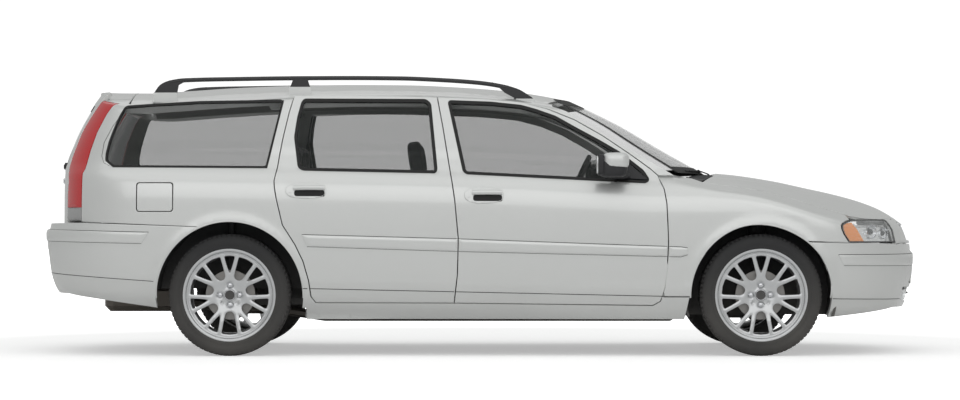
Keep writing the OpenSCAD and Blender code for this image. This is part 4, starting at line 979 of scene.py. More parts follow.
# ---- Shell: sides, roof, fenders, flap ----
def side_parts():
    """The outline of a side of the body, and the openings in it."""
    crown = []
    for x in np.arange(372, -1846, -24.0):
        w = float(w_of_x(x, 1370.0))
        y = np.interp(w, roof_side.w, roof_side.y)
        crown.append([w, float(roof_side.crease(w)) + max(0.0, float(y) - ROOF_EDGE)])
    front = unroll([[381, 1320], [1008, 939]], False)
    sill = unroll([[900, 940], [950, 400], [950, 304], [1083, 304], [1060, 190], [-900, 190],
                   [-900, 249], [-1300, 249], [-1300, 600], [-1470, 672], [-2072, 696],
                   [-2300, 697]], False)
    hatch = np.array([[float(w_of_y(y + size("panel_gap") / 2, z, False)), z] for y, z in
                      dense([[648, 697], *HATCH[1:5], [492, 1385]], 16, False)])
    top = [[float(w_of_x(-1846, 1370.0)), crown[-1][1]]]
    corner = roof_side.place([[-2036, 488], [-1950, 485], [-1850, 482]])
    outline = np.concatenate([front, sill, hatch, corner, top, crown[::-1]])
    doors = [grow(unroll(FRONT_DOOR), size("panel_gap") / 2),
             grow(unroll(REAR_DOOR), size("panel_gap") / 2)]
    cuts = doors + [arch(REAR_AXLE, REAR_ARCH), grow(unroll(TAIL_LAMP), size("panel_gap") / 2),
                    grow(unroll(QUARTER_WINDOW), 7)]
    return outline, cuts


class WAGON_OT_shell(bpy.types.Operator):
    """Builds the sides, roof, front wings and fuel flap"""
    bl_idname = "wagon.shell"
    bl_label = "Shell"

    def execute(self, context):
        outline, cuts = side_parts()
        flap = rounded(grow(np.array(FUEL_FLAP, float), -size("panel_gap") / 2), 16)
        flap_hole = unroll(rounded(grow(np.array(FUEL_FLAP, float), size("panel_gap") / 2), 18),
                           step=10)
        plain = flank([outline], cuts, 26, roof_side)
        right = flank([outline], cuts + [flap_hole], 26, roof_side)
        right, plain = (thicken(p, np.where(p[0][:, 0] > -1100, 60.0, 34.0))
                        for p in (right, plain))
        put("side_right", right, "paint", replaces=["body_sides"])
        put("side_left", mirrored(plain), "paint")
        put("fuel_flap_skin", thicken(flank([unroll(flap, step=8)], [], 12, roof_side, 3), 5),
            "paint", "fuel_flap", replaces=["fuel_flap"])
        # The pillars inside the door openings
        frames = [grow(unroll(FRONT_DOOR), -2), grow(unroll(REAR_DOOR), -2)]
        holes = [grow(unroll(FRONT_DOOR), -44), grow(unroll(REAR_DOOR), -44)]

        def inner(w, z):
            return flank_point(w, z, flat=True) + [0, 78, 0]
        post = thicken(flank(frames, holes, 30, inner), 30)
        put("door_frames", both([post]), "paint")
        rubber = [tube(inner(*grow(unroll(o), -30).T) + [0, 6, 0], 7, 8, True)
                  for o in (FRONT_DOOR, REAR_DOOR)]
        put("door_seals", both(rubber), "seal")
        # Roof skin with a ditch at each side
        edge = ROOF_EDGE - 2.5
        front_line = [[float(screen_station(y, 1352)) - 14, y]
                      for y in np.linspace(-edge, edge, 25)]
        roof = np.array(front_line + [[HATCH_LINE + 3, edge], [HATCH_LINE + 3, -edge]])

        def over(x, y):
            return np.stack([x, y, roof_height(x, y) - 5 * np.clip((np.abs(y) - 552) / 12, 0, 1)],
                            1)
        skin = facing(sheet_of([dense(roof, 30)], [], over, 42, 5), (0, 0, 1))
        put("roof_skin", thicken(skin, 14), "paint", replaces=["roof_panel"])

        def lining(x, y):
            return np.stack([x, y, roof_height(x, y) - 34 - 30
                             * np.clip((np.abs(y) - 380) / 170, 0, 1) ** 2], 1)
        inner_roof = dense([[330, -520], [380, 0], [330, 520], [-1820, 520], [-1820, -520]], 40)
        put("head_lining", thicken(facing(sheet_of([inner_roof], [], lining, 60, 6), (0, 0, 1)), 6),
            "liner", "body")
        # Front wings
        side = [[1092, 311], [954, 311], [900, 880]]
        low = unroll(side, False)
        wing_low = unroll([[1921, 590], [1640, 598], [1640, 190]], False)
        back = bonnet_side.place(dense([[900, -800], [1000, -716], [1110, -696], [1158, -738],
                                        [1300, -755], [1500, -761], [1700, -760], [1850, -753],
                                        [1904, -748]], 16, False))
        nose = unroll([[1911, 724], [1893, 709], [1878, 692], [1871, 677], [1873, 660], [1885, 630],
                       [1912, 590]], False)
        outline = np.concatenate([low, back, nose, wing_low])
        cuts = [arch(FRONT_AXLE, FRONT_ARCH), grow(unroll(FRONT_DOOR), size("panel_gap") / 2)]
        wing = flank([outline], cuts, 24, bonnet_side)
        put("front_wings", both([thicken(wing, 26)]), "paint",
            replaces=["front_fenders"])
        tip = moulding(along(STRIP_TOP, 979, 1074), along(STRIP_LOW, 979, 1074))
        put("wing_strips", both([tip]), "paint")
        marks = [seam(along(STRIP_TOP, 979, 1074) + [0, 1.5]),
                 seam(along(STRIP_LOW, 979, 1074) - [0, 1], radius=1.0),
                 seam(along(SILL_SEAM, -918, -893), radius=1.8),
                 seam(QUARTER_LINE, roof_side, radius=1.2, lift=0.2)]
        put("side_seams", both(marks), "seal")
        lips = []
        for axle, radius in ARCHES:
            line = circle(axle, AXLE_Z, radius + 1, 90, -2, 182, False)
            line = line[line[:, 1] > 205]
            lips.append(tube(flank_point(line[:, 0], line[:, 1]) + [0, 3, 0], 4.5, 10))
        put("arch_lips", both(lips), "paint")
        return {"FINISHED"}


class WAGON_OT_doors(bpy.types.Operator):
    """Builds the four side doors with their glass, trim and handles"""
    bl_idname = "wagon.doors"
    bl_label = "Doors"

    def execute(self, context):
        for place, outline, window, plate, ends, sill in (
                ("front", FRONT_DOOR, FRONT_WINDOW, [-82, 123, 790, 876], (-110, 968), (-126, 950)),
                ("rear", REAR_DOOR, REAR_WINDOW, [-1008, -795, 815, 899], (-922, -117),
                 (-878, -134))):
            shape = grow(unroll(outline), -size("panel_gap") / 2)
            glass = unroll(rounded(window, 12))
            skin = flank([shape], [grow(glass, 9)], 24)
            shell = thicken(skin, 22)
            # A raised strip with rounded edges, and the thin seams that border it
            low_start = max(ends[0], STRIP_LOW[0][0])
            top_line, low_line = along(STRIP_TOP, *ends), along(STRIP_LOW, low_start, ends[1])
            band = moulding(top_line, low_line)
            seams = [seam(top_line + [0, 1.5]), seam(low_line - [0, 1.0], radius=1.0),
                     seam(along(SILL_SEAM, *sill), radius=1.8)]
            x0, x1, z0, z1 = plate
            oval = circle(0, 0, 1, 48)
            oval = np.sign(oval) * np.abs(oval) ** 0.8 * [(x1 - x0) / 2,
                                                          (z1 - z0) / 2] + [(x0 + x1) / 2,
                                                              (z0 + z1) / 2]
            u0, u1, v0, v1 = x0 + 48, x1 - 10, z0 + 14, z0 + 0.52 * (z1 - z0)
            hollow = rounded([[u0, v0], [u1, v0], [u1, v1], [u0, v1]], 12)
            plate_sheet = flank([unroll(oval, step=6)], [unroll(hollow, step=6)], 9, ring=3)
            bezel = thicken(raised_sheet(plate_sheet, 5, 3), 9, 2.5)
            # A near-black sheet in the handle's shallow hollow, almost on the skin: painted shade
            # where a deep finger pocket would lie in shadow
            dark = thicken(raised_sheet(flank([unroll(grow(hollow, 4), step=8)], [], 9, ring=0),
                                        1.2, 0.1), 4, 0.5)
            grip_w, grip_z = np.linspace(u0 - 6, u1 + 2, 18), np.full(18, v1 + 11.0)
            grip = lifted(flank_point, grip_w, grip_z, 9 + 6 * np.sin(np.linspace(0, math.pi, 18)))
            handle = tube(grip, 10.5, 14, flat=1.25)
            lock = moved(turn(cap_solid([[0, 5], [7, 5], [8.5, 3.5], [8.5, -4], [0, -4]], 28),
                              (0, 0, 1), 180), flank_point(np.array([u0 - 24.0]),
                                                           np.array([(v0 + v1) / 2]))[0])
            for side, sign in SIDES:
                own = [shell, bezel, handle, lock, band]
                put(f"{place}_door_{side}_skin", sided(own, sign), "paint", f"{place}_door_{side}",
                    replaces=[f"{place}_door_{side}"])
                # The painted shade in the handle's hollow, together with the dark seams along the
                # strip and the sill
                put(f"{place}_door_{side}_recess", sided([dark, *seams], sign), "seal",
                    f"{place}_door_{side}")
            # Seal, glass and the trim inside
            seal = flank([grow(glass, 10)], [grow(glass, -8)], 30, ring=2.5)
            seal = thicken(raised_sheet(seal, -1.0, 0.1), 14, 1.5)
            pane = thicken(raised_sheet(flank([grow(glass, -2)], [], 40), -5, 0.1), 3.5, 0.6)

            def deep(w, z):
                return flank_point(w, z, flat=True) + [0, 23, 0]
            low = clip_below(outline, 925 if place == "front" else 948)
            card = flank([grow(unroll(low), -24)], [], 40, deep, 8)
            card = thicken(card, 44, 5)
            top = flank([grow(unroll(outline), -24)], [grow(glass, 14), unroll(low)], 40, deep, 6)
            top = thicken(top, 34, 4)
            ex = 480.0 if place == "front" else -500.0
            yin = -float(half_width(ex, 640)) + 70
            rest = [brick((ex - 250, yin - 4, 640), (ex + 210, yin + 52, 682), 14, 3),
                    brick((ex + 60, yin - 4, 760), (ex + 160, yin + 14, 792), 6, 3),
                    pillow((ex - 300, yin - 6, 330), (ex + 260, yin + 34, 430), 0.3, 12, 32)]
            for side, sign in SIDES:
                put(f"{place}_door_{side}_seal", sided(seal, sign), "seal", f"{place}_door_{side}")
                put(f"{place}_door_{side}_glass", sided(pane, sign), "glass",
                    f"{place}_door_{side}", replaces=[f"{place}_glass_{side}"])
                put(f"{place}_door_{side}_trim", sided([card, top] + rest, sign), "vinyl",
                    f"{place}_door_{side}")
        return {"FINISHED"}


def clip_below(poly, level):
    """The part of an outline below a level."""
    p = dense(poly, 12)
    q = p.copy()
    q[:, 1] = np.minimum(q[:, 1], level)
    keep = np.ones(len(q), bool)
    flat = q[:, 1] >= level
    both_flat = flat & np.roll(flat, 1) & np.roll(flat, -1)
    keep &= ~both_flat
    return q[keep]


def raised_sheet(sheet, by, soft):
    """A sheet lifted off its surface, its rim a little less."""
    v, f = sheet
    n = vertex_normals(v, f)
    rim = np.zeros(len(v), bool)
    rim[rim_edges(f).ravel()] = True
    lift = np.where(rim, by - min(soft, abs(by)) * 0.35 * np.sign(by), by)
    return v + n * lift[:, None], f


class WAGON_OT_bonnet(bpy.types.Operator):
    """Builds the bonnet, the cowl and the wipers"""
    bl_idname = "wagon.bonnet"
    bl_label = "Bonnet and wipers"

    def execute(self, context):
        ys = np.linspace(-590, 590, 61)
        nose_line = np.array(BONNET_NOSE, float)
        nx = np.interp(-np.abs(ys), nose_line[:, 1], nose_line[:, 0])
        right = [[x, y + 2.5] for x, y in BONNET_PLAN[:-1]]
        rear = [[x, y] for x, y in BONNET_REAR]
        outline = np.array(right + [[a - 1.5, y] for a, y in zip(nx, ys)]
                           + [[x, -y] for x, y in right[::-1]] + [[x, -y] for x, y in rear[1:3]]
                           + [[1281, 0]] + rear[2:0:-1])
        outline = dense(outline, 16)
        radius = 13.0

        def top(x, y):
            e = np.interp(np.abs(y), ys[30:], nx[30:]) - x
            drop = radius - np.sqrt(np.maximum(radius ** 2 - np.clip(radius - e, 0, radius) ** 2,
                                               0))
            line = 520 + 0.1 * (x - 1300)
            rib = 2.2 * np.exp(-((np.abs(y) - (line - 0.34 * (x - 1300))) / 26) ** 2)
            return np.stack([x, y, bonnet_height(x, y) - drop + rib
                             * np.clip((2180 - x) / 200, 0, 1) * np.clip((x - 1200) / 150, 0, 1)],
                             1)
        lines = [np.array([[a - d, y] for a, y in zip(nx, ys)]
                          + [[a - d - 3, y] for a, y in zip(nx[::-1], ys[::-1])])
                          for d in (2.5, 5.0, 9.0, 13.0)]
        v, f = fill([outline], (), [grow(outline, -4)] + lines, 26)
        sheet = facing((top(v[:, 0], v[:, 1]), f), (0, 0, 1))
        put("bonnet_skin", thicken(sheet, 16), "paint", "bonnet", smooth=50,
            replaces=["bonnet"])
        under = []
        for y in (-520, -260, 260, 520):
            path = np.array([[x, y * (1 - 0.2 * (x - 1350) / 600), float(bonnet_height(x, y)) - 26]
                             for x in np.linspace(1350, 2020, 16)])
            under.append(tube(path, 14, 10, flat=0.6))
        put("bonnet_ribs", under, "under", "bonnet")
        # Cowl grille below the windscreen
        cowl = np.array([[1262, 0], [1250, -260], [1214, -500], [1150, -690], [1085, -690],
                         [1120, -500], [1190, -260], [1205, 0], [1190, 260], [1120, 500],
                         [1085, 690], [1150, 690], [1214, 500], [1250, 260]], float)

        def plate(x, y):
            return np.stack([x, y, bonnet_height(x, y) - 12 - 6 * (np.sin(y / 7.0) > 0)
                             * (np.abs(y) < 600)], 1)
        cowl_sheet = facing(sheet_of([dense(cowl, 14)], [], plate, 12, 4), (0, 0, 1))
        parts = [thicken(cowl_sheet, 12, 2)]
        for pivot, elbow, a, b, z in (((560, 925), (180, 975), 440, -90, 976),
                                      ((-60, 940), (-380, 968), -120, -600, 966)):
            def at(y, zz, out):
                return [float(screen_station(y, zz)) + out, y, zz]
            arm = np.array([at(pivot[0], pivot[1], 22),
                            at(*(0.5 * np.array(pivot) + 0.5 * np.array(elbow)), 27),
                            at(*elbow, 24), at((a + b) / 2, z, 14)])
            parts.append(tube(bent(arm, 22), np.linspace(6.0, 4.0, 22), 10, flat=0.6))
            blade = np.array([at(y, z, 8) for y in np.linspace(a, b, 30)])
            parts.append(tube(blade, 3.6, 8))
            upper = np.array([at(y, z, 13 + 3 * math.sin(k / 29 * math.pi)) for k, y in
                              enumerate(np.linspace(a * 0.9 + b * 0.1, a * 0.1 + b * 0.9, 30))])
            parts.append(tube(upper, 3.0, 8))
            boss = cap_solid([[0, 9], [7, 9], [9, 6], [9, -8], [0, -8]], 24)
            parts.append(moved(turn(boss, (1, 0, 0), 90), at(pivot[0], pivot[1], 22)))
        put("cowl_wipers", parts, "trim", replaces=["cowl_and_wipers"])
        return {"FINISHED"}


class WAGON_OT_glass(bpy.types.Operator):
    """Builds the windscreen and the quarter windows"""
    bl_idname = "wagon.glass"
    bl_label = "Fixed glass"

    def execute(self, context):
        rim = np.array([[-742, 952], [-700, 1040], [-640, 1180], [-588, 1345], [588, 1345],
                        [640, 1180], [700, 1040], [742, 952]], float)
        rim = dense(rounded(rim, 40), 18)

        def screen(y, z):
            return np.stack([screen_station(y, z) - 2, y, z], 1)
        pane = facing(sheet_of([rim], [], screen, 46), (1, 0, 1))
        put("windscreen", thicken(pane, 5, 1), "glass",
            replaces=["fixed_glass"])
        band = facing(sheet_of([rim], [grow(rim, -34)], lambda y,
                               z: screen(y, z) + np.array([0.4, 0, 0.4]), 24, 3), (1, 0, 1))
        trim = [thicken(band, 2.0, 0.5)]
        quarter = unroll(rounded(QUARTER_WINDOW, 14))
        qg = thicken(raised_sheet(flank([grow(quarter, 3)], [], 40), -3, 0.1), 4, 0.8)
        put("quarter_glass", both([qg]), "glass")
        edge = flank([grow(quarter, 8)], [grow(quarter, -5)], 30, ring=2.5)
        trim += both([thicken(raised_sheet(edge, -0.6, 0.1), 10, 1.5)])
        put("glass_edges", trim, "seal")
        return {"FINISHED"}


# ---- Ends of the car ----
def across(surface, end):
    """A surface of signed run from the middle of an end: right is negative."""
    def at(q, z):
        w = end - np.abs(q) if end > 0 else end + np.abs(q)
        p = surface(w, z)
        p[:, 1] *= np.where(q > 0, -1.0, 1.0)
        return p
    return at


def from_middle(points, end, view="side", tail=tail_at):
    """Points of the side view (x, z) or the end view (y, z) as (run from the middle, z)."""
    out = []
    for a, z in points:
        w = float(w_of_x(a, z, tail)) if view == "side" else float(w_of_y(a, z, end > 0))
        out.append([end - w if end > 0 else w - end, z])
    return out


def mirror_outline(half):
    """A whole outline from its left half, which starts and ends on the middle."""
    h = np.array(half, float)
    return np.concatenate([h, (h * [-1, 1])[::-1][1:-1]])


def soft_step(q, low, high, width=5.0):
    """Near one between two values, near zero outside them."""
    return 1 / (1 + np.exp(-(q - low) / width * 3)) * 1 / (1 + np.exp((q - high) / width * 3))


class WAGON_OT_front(bpy.types.Operator):
    """Builds the front bumper, grille and headlamps"""
    bl_idname = "wagon.front"
    bl_label = "Front end"

    def execute(self, context):
        end = NOSE_W

        def skin(w, z):
            p = bonnet_side(w, z)
            x, y = skin_xy(w, z)
            lift = -4 * soft_step(z, 150, 290, 6) * np.clip((w - 1700) / 100, 0, 1)
            d = np.stack([np.clip((x - 1900) / 400, 0, 1), -np.clip(y / 500, 0, 1)], 1)
            d /= np.maximum(np.linalg.norm(d, axis=1), 0.3)[:, None]
            p[:, :2] += d * lift[:, None]
            p[:, 0] = np.minimum(p[:, 0], FULL_HALF)
            return p
        face = across(skin, end)
        half = [[0, 236]] + from_middle([[2180, 246], [1830, 201]], end) + \
            from_middle([[1640, 190], [1640, 592], [1921, 584], [2203, 577]], end) + [[0, 576]]
        outline = mirror_outline(dense(half, 18, False))
        wheel_cut = np.array(from_middle(arch(FRONT_AXLE, FRONT_ARCH, 90), end))
        cuts = [wheel_cut, wheel_cut * [-1, 1]]
        intake = rounded([[-330, 268], [330, 268], [350, 345], [-350, 345]], 22)
        fogs = [rounded(np.array([[s * 400, 284], [s * 535, 284], [s * 560, 352], [s * 390, 352]]),
                        14) for s in (1, -1)]
        sheet = flank([outline], cuts + [dense(intake, 14)] + [dense(q, 12) for q in fogs], 22,
                      face)
        depth = np.where(sheet[0][:, 0] > 2000, 46.0, 26.0)
        put("bumper_front", thicken(sheet, depth), "paint",
            replaces=["front_bumper"])
        # Strips along the bumper, slats in the intake
        middle = 2353.0
        top_line, low_line = [[1857, 524], [2200, 525], [middle, 526]], [[1886, 470], [2200, 467],
            [middle, 464]]
        strips = both([moulding(top_line, low_line, 6.0, skin)])
        marks = both([seam(np.add(top_line, [0, 1.5]), skin, lift=0.2, radius=1.6),
                      seam(np.add(low_line, [0, -1]), skin, radius=1.1),
                      seam([[1829, 297], [2225, 290]], skin, radius=1.6)])
        put("bumper_front_seams", marks, "seal")
        back = flank([grow(intake, 16)], [], 26, face)
        dark = [thicken(sunk(back, 44), 6)]
        for z in (286.0, 305.0, 324.0):
            p = face(np.linspace(-335, 335, 61), np.full(61, z))
            dark.append(tube(p - away(p) * 18, 4.5, 8))
        put("bumper_intake", dark, "trim")
        put("bumper_strip", strips, "paint")
        fog = [thicken(sunk(flank([grow(o, 5)], [], 16, face), 26), 8) for o in fogs]
        put("fog_pockets", fog, "trim")
        bowls, lenses = [], []
        for s in (1, -1):
            c = face(np.array([s * 470.0]), np.array([318.0]))[0]
            yaw = math.degrees(math.atan2(c[1], c[0] - 1500))
            back = 20 * np.array([math.cos(math.radians(yaw)), math.sin(math.radians(yaw)), 0])
            bowl = cap_solid([[0, -10], [20, -6], [33, 4], [36, 12], [39, 12], [39, -12], [0, -18]],
                             48)
            lens = cap_solid([[0, 15], [20, 14], [34, 11], [36, 8], [34, 8], [20, 11], [0, 12]], 48)
            for part, kept in ((bowl, bowls), (lens, lenses)):
                kept.append(moved(turn(part, (0, 0, 1), -90 + yaw), c - back))
        put("fog_bowls", bowls, "mirror")
        put("fog_lenses", lenses, "clear")
        # Number plate, blank
        c = face(np.array([250.0]), np.array([410.0]))[0]
        plate = brick((c[0] - 7, -260, 366), (c[0] - 0.5, 260, 456), 4, 3)
        put("plate_front", [plate], "plate")
        # Grille
        opening = mirror_outline(dense([[0, 581], [352, 582], [368, 600], [372, 690], [0, 697]], 14,
                                       False))
        frame_ring = flank([opening], [grow(opening, -15)], 16, face, 3)
        put("grille_frame", thicken(raised_sheet(frame_ring, 1.0, 1), 22, 3), "chrome",
            replaces=["grille"])
        screen = flank([grow(opening, -8)], [], 24, face)
        bar = tube(face(np.linspace(-358, 358, 61), np.full(61, 600.0)) - [34, 0, 0], 4.0, 10,
                   flat=2.2)
        slats = repeated("grille_slats", bar, 5, "trim", along=(-5.5, 0, 20))
        put("grille_bars", [thicken(sunk(screen, 52), 5), slats], "trim")
        # Painted nose between the lamps, round the grille
        edge = bonnet_side.place(dense(np.add(BONNET_NOSE, [3.5, 0])[::-1], 14, False))
        lamp_front = [[2152, 690], [2168, 655], [2183, 588], [2183, 581]]
        half = [[end - w, z] for w, z in edge] + from_middle(np.add(lamp_front, [3, 0]).tolist(),
                                                             end) + [[0, 580]]
        hole = mirror_outline([[0, 560], [360, 560], [369, 600], [373, 690], [340, 697], [0, 697]])
        nose = flank([mirror_outline(half)], [dense(hole, 14)], 18, face, 3)
        put("nose_panel", thicken(nose, 22, 2), "paint")
        # Headlamps
        lamp = unroll([[1875, 677], [1882, 690], [1896, 705], [1914, 718]], False)
        plan = bonnet_side.place(dense([[1922, -798], [1975, -752], [2014, -722], [2050, -692],
                                        [2100, -640], [2135, -596]], 12, False))
        front_edge = unroll(lamp_front[:3], False)
        bottom = unroll([[2183, 588], [1916, 588], [1888, 632], [1876, 660]], False)
        area = grow(np.concatenate([lamp, plan, front_edge[:-1], bottom]), -2)
        lens = flank([area], [], 16, bonnet_side)
        shell = thicken(lens, 3, 1.2)
        put("headlamp_lenses", both([shell]), "clear", replaces=["headlamps"])
        rubber = flank([grow(area, 2.5)], [grow(area, -5)], 16, bonnet_side, 1.5)
        put("headlamp_edges", both([thicken(raised_sheet(rubber, -0.6, 0.1), 6, 1)]), "seal")

        housing = thicken(sunk(flank([grow(area, -3)], [], 22, bonnet_side), 30), 10, 1)
        amber_area = unroll([[1882, 676], [1894, 697], [1922, 708], [1956, 672], [2004, 592],
                             [1918, 592], [1892, 632]], step=12)
        amber = thicken(sunk(flank([grow(amber_area, -3)], [], 14, bonnet_side), 4.5), 6, 2)
        put("headlamp_amber", both([amber]), "amber")
        put("headlamp_housings", both([housing]), "mirror")
        bulbs, rings = [], []
        for x, z, r in ((2052, 648, 36), (2128, 642, 30)):
            c = lifted(bonnet_side, w_of_x(np.array([float(x)]), np.array([float(z)])),
                       np.array([float(z)]), -22)[0]
            bowl = cap_solid([[0, -14], [r * 0.5, -11], [r * 0.85, -2], [r * 0.95, 8], [r, 9],
                              [r, -2], [r * 0.5, -16], [0, -18]], 56)
            eye = cap_solid([[0, 8], [r * 0.3, 6], [r * 0.45, -2], [r * 0.45, -12], [0, -12]], 40)
            rings.append(moved(turn(bowl, (0, 0, 1), LAMP_YAW), c))
            bulbs.append(moved(turn(eye, (0, 0, 1), LAMP_YAW), c))
        put("headlamp_bowls", both(rings), "chrome", "body")
        put("headlamp_eyes", both(bulbs), "gloss")
        return {"FINISHED"}


class WAGON_OT_rear(bpy.types.Operator):
    """Builds the rear bumper, tailgate and tail lamps"""
    bl_idname = "wagon.rear"
    bl_label = "Rear end"

    def execute(self, context):
        end = TAIL_W

        def bumper(w, z):
            p = flank_point(w, z, bumper_tail_at)
            p[:, 0] = np.maximum(p[:, 0], -FULL_HALF)
            return p
        face = across(bumper, end)
        tb = bumper_tail_at
        half = [[0, 322]] + from_middle([[-2153, 320], [-1675, 249]], end, tail=tb) + \
            from_middle([[-1440, 249], [-1440, 668], [-1470, 670], [-2072, 691], [-2150, 690]], end,
                        tail=tb) + [[0, 682]]
        outline = mirror_outline(dense(half, 18, False))
        cut = np.array(from_middle(arch(REAR_AXLE, REAR_ARCH, 90), end, tail=tb))
        sheet = flank([outline], [cut, cut * [-1, 1]], 22, face)
        depth = np.where(sheet[0][:, 0] < -2150, 70.0, 26.0)
        put("bumper_rear", thicken(sheet, depth, 3), "paint",
            replaces=["rear_bumper"])
        top_line, low_line = [[-2354, 655], [-2100, 650], [-1714, 641]], [[-2354, 598],
            [-2100, 592], [-1752, 584]]
        seam_line = [[-2330, 432], [-2222, 425], [-1690, 388]]
        put("bumper_rear_strip", both([moulding(top_line, low_line, 7.0, bumper, tb)]), "paint")
        marks = [seam(np.add(top_line, [0, 1.5]), bumper, tb, 1.6),
                 seam(np.add(low_line, [0, -1]), bumper, tb, 1.1), seam(seam_line, bumper, tb, 1.6)]
        put("bumper_rear_seams", both(marks), "seal")
        reflectors = []
        for s in (1, -1):
            area = dense(rounded([[s * 330, 505], [s * 450, 505], [s * 450, 527], [s * 330, 527]],
                                 8), 8)
            r = flank([area], [], 12, face, 3)
            reflectors.append(thicken(raised_sheet(r, 2.0, 1), 5, 1))
        put("rear_reflectors", reflectors, "red")
        # Tailgate skin
        back = across(flank_point, end)

        def rear_view(points):
            return [[float(w_of_y(y, z, False)) - end, z] for y, z in points]
        half = [[0, 604]] + rear_view(dense([[648 - 2.5, 604], [642, 910], [581, 1003], [529, 1172],
                                             [497, 1337], [488, 1384]], 16, False)) + [[0, 1384]]
        gate = mirror_outline(dense(half, 20, False))
        pane_half = [[0, 992]] + rear_view(dense([[480, 992], [520, 1010], [478, 1160],
                                                  [440, 1318]], 16, False)) + \
            [[0, 1318]]
        pane = mirror_outline(dense(pane_half, 20, False))

        def panel_form(q, z):
            p = back(q, z)
            dent = 38 * soft_step(z, 745, 950, 10) * soft_step(np.abs(q), -9999, 325, 12)
            p[:, 0] += dent
            return p
        skin = flank([gate], [grow(pane, 6)], 22, panel_form)
        put("tailgate_skin", thicken(skin, 24, 3), "paint", "tailgate",
            replaces=["tailgate"])
        glass = flank([grow(pane, 2)], [], 44, back)
        put("rear_screen", thicken(raised_sheet(glass, -3, 0.1), 4, 1), "glass", "tailgate",
            replaces=["tailgate_glass"])
        edge = flank([grow(pane, 8)], [grow(pane, -22)], 20, back, 3)
        seal = [thicken(raised_sheet(edge, -0.8, 0.1), 8, 1)]
        # Spoiler over the screen
        ys = np.linspace(-486, 486, 31)
        wt = np.array([float(w_of_y(y, 1384.0, False)) for y in ys])
        tx, _ = skin_xy(wt, np.full(31, 1384.0))
        plan = np.array([[HATCH_LINE - 3, -478], *[[a - 1.0, y] for a, y in zip(tx, ys)],
                         [HATCH_LINE - 3, 478]])

        def lid(x, y):
            return np.stack([x, y, roof_height(x, y) + 1.5 * np.clip((-1950 - x) / 60, 0, 1)], 1)
        top = facing(sheet_of([dense(plan, 16)], [], lid, 26, 4), (0, 0, 1))
        spoiler = thicken(top, 15, 6)
        put("tailgate_top", spoiler, "paint", "tailgate")
        put("rear_screen_edge", seal, "seal", "tailgate")
        xp = float(back(np.array([0.0]), np.array([820.0]))[0, 0]) + 38
        put("plate_rear", [brick((xp - 7, -260, 765), (xp - 1, 260, 875), 4, 3)], "plate",
            "tailgate")
        handle = [brick((xp - 12, -290, 900), (xp + 4, 290, 930), 7, 4)]
        put("tailgate_handle", handle, "chrome", "tailgate")
        xw = float(back(np.array([0.0]), np.array([1010.0]))[0, 0])
        wiper = [moved(turn(cap_solid([[0, 16], [12, 16], [18, 8], [18, -8], [0, -8]], 36),
                            (0, 0, 1), 90), (xw, 0, 996))]
        blade = np.array([[float(back(np.array([q]), np.array([1014 + 0.02 * q]))[0, 0]) - 6, q,
                           1014 + 0.02 * q] for q in np.linspace(-20, 360, 30)])
        wiper.append(tube(blade, 4.5, 8))
        arm = np.array([[xw - 12, 0, 996], [xw - 16, 90, 1006], [blade[15, 0] - 8, 190, 1017]])
        wiper.append(tube(bent(arm, 14), 5, 8))
        put("rear_wiper", wiper, "trim", "tailgate")
        # Tail lamps

        def cut_w(z):
            return float(w_of_y(half_hatch(z) + 3.0, z, False))
        rim = np.array([[cut_w(z), z] for z in np.linspace(1347, 700, 40)])
        outer = unroll([[-2078, 700], *TAIL_LAMP[1:7], [-1910, 1347]], False)
        outline = grow(np.concatenate([outer, rim]), -2)
        split = np.array([[outline[:, 0].min() - 60, 770], [outline[:, 0].max() + 60, 770],
                          [outline[:, 0].max() + 60, 600], [outline[:, 0].min() - 60, 600]])
        above = np.array([[split[0, 0], 771], [split[1, 0], 771], [split[1, 0], 1500],
                          [split[0, 0], 1500]])

        def lens_form(w, z):
            p = roof_side(w, z)
            return p - away(p) * 2.0 * soft_step(z, 955, 975, 5)[:, None]
        red = flank([outline], [split], 14, lens_form, 3)
        low = flank([outline], [above], 14, lens_form, 3)
        put("tail_lamp_red", both([thicken(red, 7, 2)]), "red",
            replaces=["tail_lamps"])
        put("tail_lamp_grey", both([thicken(low, 7, 2)]), "smoke")
        bowl = flank([grow(outline, -6)], [], 26, lens_form, 3)
        deep = thicken(sunk(bowl, 30), 8, 2)
        put("tail_lamp_bowls", both([deep]), "mirror", "body")
        ribs = []
        for z in np.arange(800, 1290, 26.0):
            lo, hi = cut_w(z) + 12, float(np.interp(z, outer[:, 1], outer[:, 0])) - 10
            if hi - lo > 30:
                w = np.linspace(lo, hi, 18)
                p = flank_point(w, np.full(18, z))
                ribs.append(tube(p - away(p) * 14, 2.0, 6))
        put("tail_lamp_ribs", both(ribs), "mirror", "body")
        return {"FINISHED"}


def half_hatch(z):
    """Half width of the tailgate at a height."""
    widths, heights = zip(*HATCH)
    return float(np.interp(z, heights, widths))


# ---- Wheels ----
def wheel_dish(r):
    """How far the wheel's face stands out at a radius."""
    return np.interp(r, [0, 30, 60, 90, 140, 190, 214, 230], [58, 60, 63, 72, 84, 89, 88, 84])


